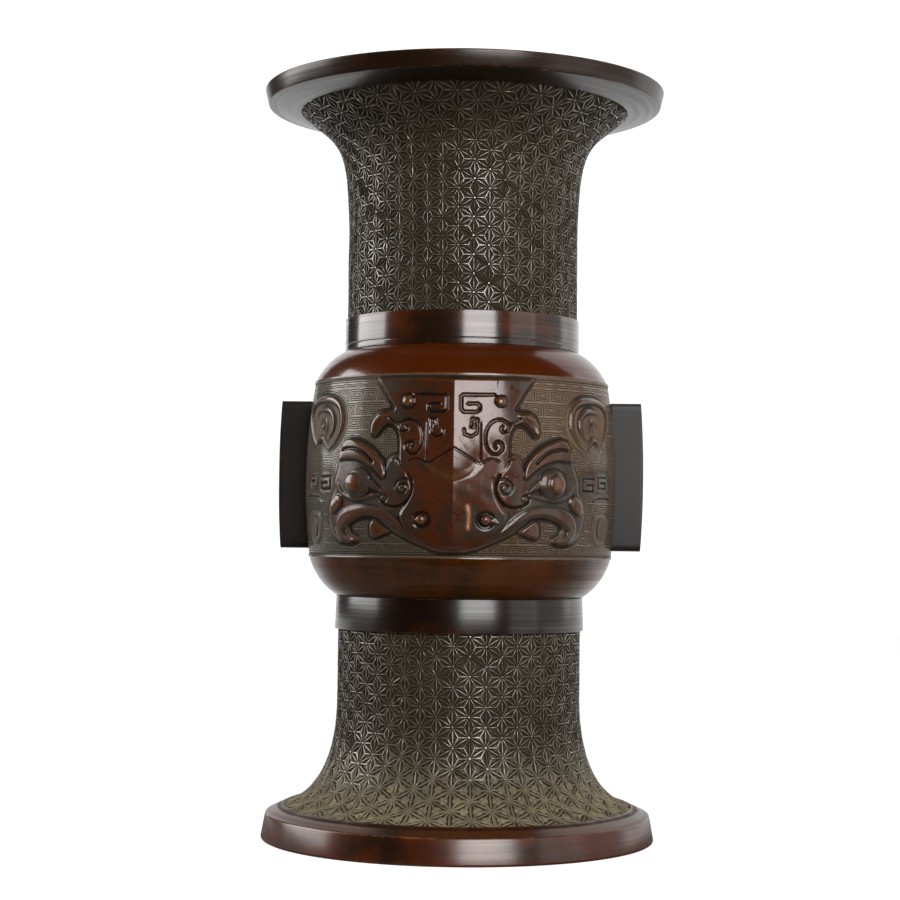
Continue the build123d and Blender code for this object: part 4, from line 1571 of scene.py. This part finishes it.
@dataclass
class SideFlange:
    """Plain plate that stands out from the side of the drum, filed by hand."""

    node: str
    side: float
    low: float = 115.0
    high: float = 174.2
    inner: float = 59.6
    outer: float = 73.3
    bow: float = 1.1
    thick: float = 8.0
    ease: float = 0.9
    uneven: float = 0.03
    wave: float = 0.13
    rubbed: float = 0.25
    cuts: int = 40

    def block(self, cube: Array) -> Array:
        """Points of the plate with sharp edges and a bowed outer face.

        Args:
            cube: points of a cube of size 1 about the origin.

        Returns:
            The points in millimetres, on the right side.
        """
        level = self.low + (cube[:, 2] + 0.5) * (self.high - self.low)
        steps = np.linspace(self.low, self.high, self.cuts)
        bow = self.bow * np.linspace(-1, 1, self.cuts) ** 2
        far = np.interp(level, steps, self.outer - bow)
        x = self.inner + (cube[:, 0] + 0.5) * (far - self.inner)
        return np.stack([x, cube[:, 1] * self.thick, level], axis=1)

    def build(self) -> bpy.types.Object:
        """Builds the plate with eased edges and a slightly uneven skin.

        Returns:
            The piece.
        """
        work = bmesh.new()
        bmesh.ops.create_cube(work, size=1.0)
        bmesh.ops.subdivide_edges(work, edges=work.edges[:], cuts=self.cuts, use_grid_fill=True)
        if self.side < 0:
            bmesh.ops.reverse_faces(work, faces=work.faces[:])
        mesh = bpy.data.meshes.new(f"{self.node}_plate")
        work.to_mesh(mesh)
        work.free()
        centre = 0.5 * np.array([self.inner + self.outer, 0.0, self.low + self.high])
        core_half = 0.5 * np.array([self.outer - self.inner, self.thick, self.high - self.low]) - self.ease
        from_centre = self.block(np.array([v.co for v in mesh.vertices])) - centre
        core = np.clip(from_centre, -core_half, core_half)
        off = from_centre - core
        size = np.linalg.norm(off, axis=1)[:, None]
        co = centre + core + off * np.where(size > self.ease, self.ease / np.maximum(size, 1e-6), 1.0)
        co[:, 0] *= self.side
        co[:, 1] += self.uneven * np.sin(co[:, 2] * self.wave + 1.0)
        mesh.vertices.foreach_set("co", (co * MM).astype(np.float32).reshape(-1))
        mesh.update()
        on_edge = (np.abs(off) > self.rubbed).sum(axis=1) >= 2
        return add_piece(mesh, {Attr.WEAR: on_edge})

    def dress(self, piece: bpy.types.Object, material: bpy.types.Material) -> None:
        """Gives the piece its finish and its place."""
        settle(piece, self.node, material)


@dataclass(frozen=True)
class SoftBox:
    """Soft lamp that faces the vase.

    Its turn is in degrees from the front to the right. The lift of its lower edge, its reach from the
    axis and its size are in metres, and its power is in watts.
    """

    name: str
    turn: float
    lift: float
    reach: float
    size: Point
    power: float

    def build(self) -> None:
        """Adds the lamp to the scene."""
        data = bpy.data.lights.new(self.name, "AREA")
        data.shape = "RECTANGLE"
        data.size, data.size_y = self.size
        data.energy = self.power
        lamp = bpy.data.objects.new(self.name, data)
        turn = math.radians(self.turn)
        out = Vector((math.sin(turn), -math.cos(turn), 0.0))
        lamp.location = out * self.reach + Vector((0.0, 0.0, self.lift + 0.5 * self.size[1]))
        lamp.rotation_euler = (-out).to_track_quat("-Z", "Y").to_euler()
        bpy.context.scene.collection.objects.link(lamp)


@dataclass
class Studio:
    """White floor and backdrop, soft boxes and the camera."""

    eye: tuple[float, float, float] = (0.0359, -0.8395, 0.1196)
    yaw: float = 2.75
    pitch: float = 2.42
    roll: float = 0.64
    lens: float = 83.32
    sensor: float = 36.0
    room: float = 0.01
    paper: Colour = (0.35, 0.35, 0.35)
    floor_glow: float = 0.93
    backdrop_glow: float = 0.98
    boxes: tuple[SoftBox, ...] = (
        SoftBox("right_box", 19.0, 0.11, 1.5, (0.82, 1.1), 19.5),
        SoftBox("left_box", -98.5, 0.2, 2.2, (1.65, 1.6), 40.0),
        SoftBox("right_wall", 100.0, -0.1, 1.8, (1.8, 1.5), 4.2),
        SoftBox("right_fill", 63.0, -0.5, 1.8, (0.9, 2.0), 4.8),
    )

    def camera(self) -> None:
        """Places the camera at the photograph's view."""
        data = bpy.data.cameras.new("camera")
        data.lens = self.lens
        data.sensor_width = self.sensor
        data.clip_start = 0.01
        camera = bpy.data.objects.new("camera", data)
        yaw, pitch, roll = (math.radians(a) for a in (self.yaw, self.pitch, self.roll))
        turned = Matrix.Rotation(yaw, 4, "Z") @ Matrix.Rotation(math.pi / 2 + pitch, 4, "X")
        camera.matrix_world = Matrix.Translation(self.eye) @ turned @ Matrix.Rotation(roll, 4, "Z")
        bpy.context.scene.collection.objects.link(camera)
        bpy.context.scene.camera = camera

    def world(self) -> None:
        """Adds the faint light of the room, which the camera sees as white."""
        world = bpy.data.worlds.new("room")
        world.use_nodes = True
        nodes, links = world.node_tree.nodes, world.node_tree.links
        path = nodes.new("ShaderNodeLightPath")
        level = nodes.new("ShaderNodeMapRange")
        level.inputs["To Min"].default_value = self.room
        links.new(path.outputs["Is Camera Ray"], level.inputs["Value"])
        links.new(level.outputs[0], nodes["Background"].inputs["Strength"])
        nodes["Background"].inputs["Color"].default_value = (1.0, 1.0, 1.0, 1.0)
        bpy.context.scene.world = world

    def white(self, name: str, glow: float) -> bpy.types.Material:
        """Matt white that the camera and reflections see as plain white.

        Args:
            name: name of the material.
            glow: white added where the camera or a reflection looks at it.

        Returns:
            The material.
        """
        paint = Paint(name)
        rays = ("Is Camera Ray", "Is Glossy Ray", "Is Transmission Ray")
        camera, glossy, through = (paint.node("ShaderNodeLightPath", out=ray) for ray in rays)
        place = paint.place()
        # Reflections see white only behind the vase and to its right.
        lit = paint.ramp(paint.axis(place, "Y") + 0.3 * paint.axis(place, "X"), 0.0, 0.35)
        looked = paint.math("MINIMUM", camera + (glossy + through) * lit, 1.0)
        matt = paint.node("ShaderNodeBsdfDiffuse", sockets={"Color": (*self.paper, 1.0)})
        light = paint.node("ShaderNodeEmission", sockets={"Color": (1, 1, 1, 1), "Strength": looked * glow})
        both = paint.node("ShaderNodeAddShader", sockets={0: matt, 1: light})
        paint.node("ShaderNodeOutputMaterial", sockets={"Surface": both})
        return paint.material

    def sheet(self, name: str, points: Sequence[tuple[float, float, float]], glow: float) -> None:
        """Adds a white sheet to the scene.

        Args:
            name: name of the sheet.
            points: its four corners in millimetres.
            glow: white that the camera sees on it.
        """
        sheet = add_mesh(name, np.array(points), [np.array([[0, 1, 2, 3]])], {})
        sheet.data.materials.append(self.white(f"{name}_white", glow))

    def build(self) -> None:
        """Sets up the whole studio."""
        self.camera()
        for box in self.boxes:
            box.build()
        self.world()
        floor = [(-2000, -172, -0.05), (1750, -172, -0.05), (1750, 2600, -0.05), (-2000, 2600, -0.05)]
        self.sheet("floor", floor, self.floor_glow)
        backdrop = [(-1150, 1900, -1), (4000, 1900, -1), (4000, 1900, 4200), (-1150, 1900, 4200)]
        self.sheet("backdrop", backdrop, self.backdrop_glow)
        bpy.context.scene.view_settings.view_transform = "Standard"


def turned_pieces() -> list[TurnedPiece]:
    """Sections of all the smooth turned pieces, from the mouth down.

    Returns:
        The pieces.
    """
    dish = bezier((75.7, 300.0), (72.3, 299.2), (67.0, 296.6), (62.0, 294.6), 9)[1:-1]
    rim = corners((62.0, 294.6, 0.3), (62.0, 293.4), (66.0, 293.4), (66.0, 291.1, 0.25, 0.9))
    rim += corners((79.2, 293.5, 0.8, 0.6), (80.75, 300.0, 0.8, 0.75), (75.7, 300.0, 0.5, 0.3), *dish)
    upper = corners((46.0, 194.0), (47.2, 194.0, 0.3, 0.6), (47.2, 195.9, 0.1), (47.08, 196.3, 0.15))
    upper += corners((47.2, 196.7, 0.1, 0.3), (47.15, 207.1, 0.35, 0.7), (46.0, 207.1))
    shoulder = corners(*bezier((58.64, 181.7), (56.6, 186.6), (52.6, 191.2), (47.2, 194.0), 14))
    shoulder[0].wear = 0.7
    shoulder += corners((45.9, 194.0), (45.9, 200.55), (44.4, 200.55), (44.4, 194.0))
    shoulder += corners((53.5, 181.7), (53.5, 176.7), (54.9, 176.7), (54.9, 181.7))
    lower = corners(*bezier((49.4, 96.4), (54.4, 99.6), (58.4, 104.6), (60.5, 111.7), 14))
    lower[-1].wear = 0.6
    lower += corners((56.7, 111.7), (56.7, 116.7), (55.3, 116.7), (55.3, 111.7))
    lower += corners((46.7, 96.4), (46.7, 89.8), (48.2, 89.8), (48.2, 96.4))
    collar = corners((48.3, 83.2), (49.88, 83.2, 0.35, 0.7), (49.4, 96.4, 0.35, 0.7), (48.3, 96.4))
    ring = corners((70.2, 0.0, 0.3), (78.45, 0.0, 0.9, 0.6), (76.6, 10.2, 1.1, 0.8), (72.9, 11.9))
    ring += corners((71.4, 12.59, 0.0, -0.9), (69.2, 13.6, 0.25, -1.2), (69.2, 9.0))
    ring += corners((64.5, 9.0), (64.5, 5.5), (70.2, 5.5))
    plate = corners((0.01, 3.0), (70.05, 3.0, 0.4), (70.05, 5.5, 0.4), (0.01, 5.5))
    tan, umber = (0.092, 0.0225, 0.0010), (0.023, 0.0108, 0.0014)
    lower_finish = TurnedBronze("lower_shoulder_bronze", 0.54, 0.5, dark=umber, red=tan)
    collar_finish = TurnedBronze("lower_collar_bronze", 0.1, 0.7, polish=0.2, dark=(0.012, 0.004, 0.0012))
    return [
        TurnedPiece("mouth_rim", rim, TurnedBronze("rim_bronze", 0.14, 0.5, polish=0.24)),
        TurnedPiece("upper_collar", upper, TurnedBronze("upper_collar_bronze", 0.3, 0.95)),
        TurnedPiece("shoulder", shoulder, TurnedBronze("shoulder_bronze", 0.75, 0.8)),
        TurnedPiece("lower_shoulder", lower, lower_finish),
        TurnedPiece("lower_collar", collar, collar_finish),
        TurnedPiece("foot_ring", ring, TurnedBronze("foot_ring_bronze", 0.5, 0.8, dust=0.26, polish=0.22)),
        TurnedPiece("base_plate", plate, BaseBronze(), Slot.BASE),
    ]


def diaper_tubes() -> list[DiaperTube]:
    """Neck and foot, with the sections of their walls.

    Returns:
        The two tubes.
    """
    neck_shape, foot_shape = (43.0, 17.9, 43.0), (23.8, 12.6, 14.0)
    neck_flare = flare_curve((45.9, 240.1), (65.9, 291.5), *neck_shape)
    neck_out = np.concatenate([[(45.9, z) for z in np.linspace(203.0, 239.0, 37)], neck_flare])
    neck_bore = flare_curve((42.9, 240.1), (62.0, 293.4), *neck_shape)[::-1]
    neck_seat = [(42.9, 195.55), (44.3, 195.55), (44.3, 200.55), (45.9, 200.55)]
    neck_in = np.concatenate([[(65.9, 293.4)], neck_bore, neck_seat])
    foot_flare = flare_curve((48.2, 54.9), (69.1, 13.0), *foot_shape)[::-1]
    foot_out = np.concatenate([foot_flare, [(48.2, z) for z in np.linspace(56.0, 87.0, 32)]])
    foot_bore = flare_curve((45.2, 54.9), (64.5, 9.0), *foot_shape)
    foot_seat = [(48.2, 89.8), (46.6, 89.8), (46.6, 94.8), (45.2, 94.8)]
    foot_in = np.concatenate([foot_seat, foot_bore, [(69.1, 9.0)]])
    return [DiaperTube("neck", neck_out, neck_in, 11), DiaperTube("foot", foot_out, foot_in, 41)]


def main() -> None:
    """Builds the vase piece by piece, then the studio."""
    logging.basicConfig(level=logging.INFO, format="%(name)s %(message)s")
    finishes = {
        Slot.DIAPER: DiaperBronze().make(),
        Slot.RELIEF: ReliefBronze().make(),
        Slot.FLANGE: FlangeBronze().make(),
        Slot.BASE: BaseBronze().make(),
    }
    for turned in turned_pieces():
        turned.dress(turned.build(), turned.finish.make())
    for tube in diaper_tubes():
        tube.dress(tube.build(), finishes[Slot.DIAPER])
    drum = MaskDrum()
    drum.dress(drum.build(), finishes[Slot.RELIEF])
    for flange in (SideFlange("left_flange", -1.0), SideFlange("right_flange", 1.0)):
        flange.dress(flange.build(), finishes[Slot.FLANGE])
    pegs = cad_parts["flange_pegs"]
    pegs.data.materials.clear()
    pegs.data.materials.append(finishes[Slot.BASE])
    Studio().build()


if __name__ == "__main__":
    main()
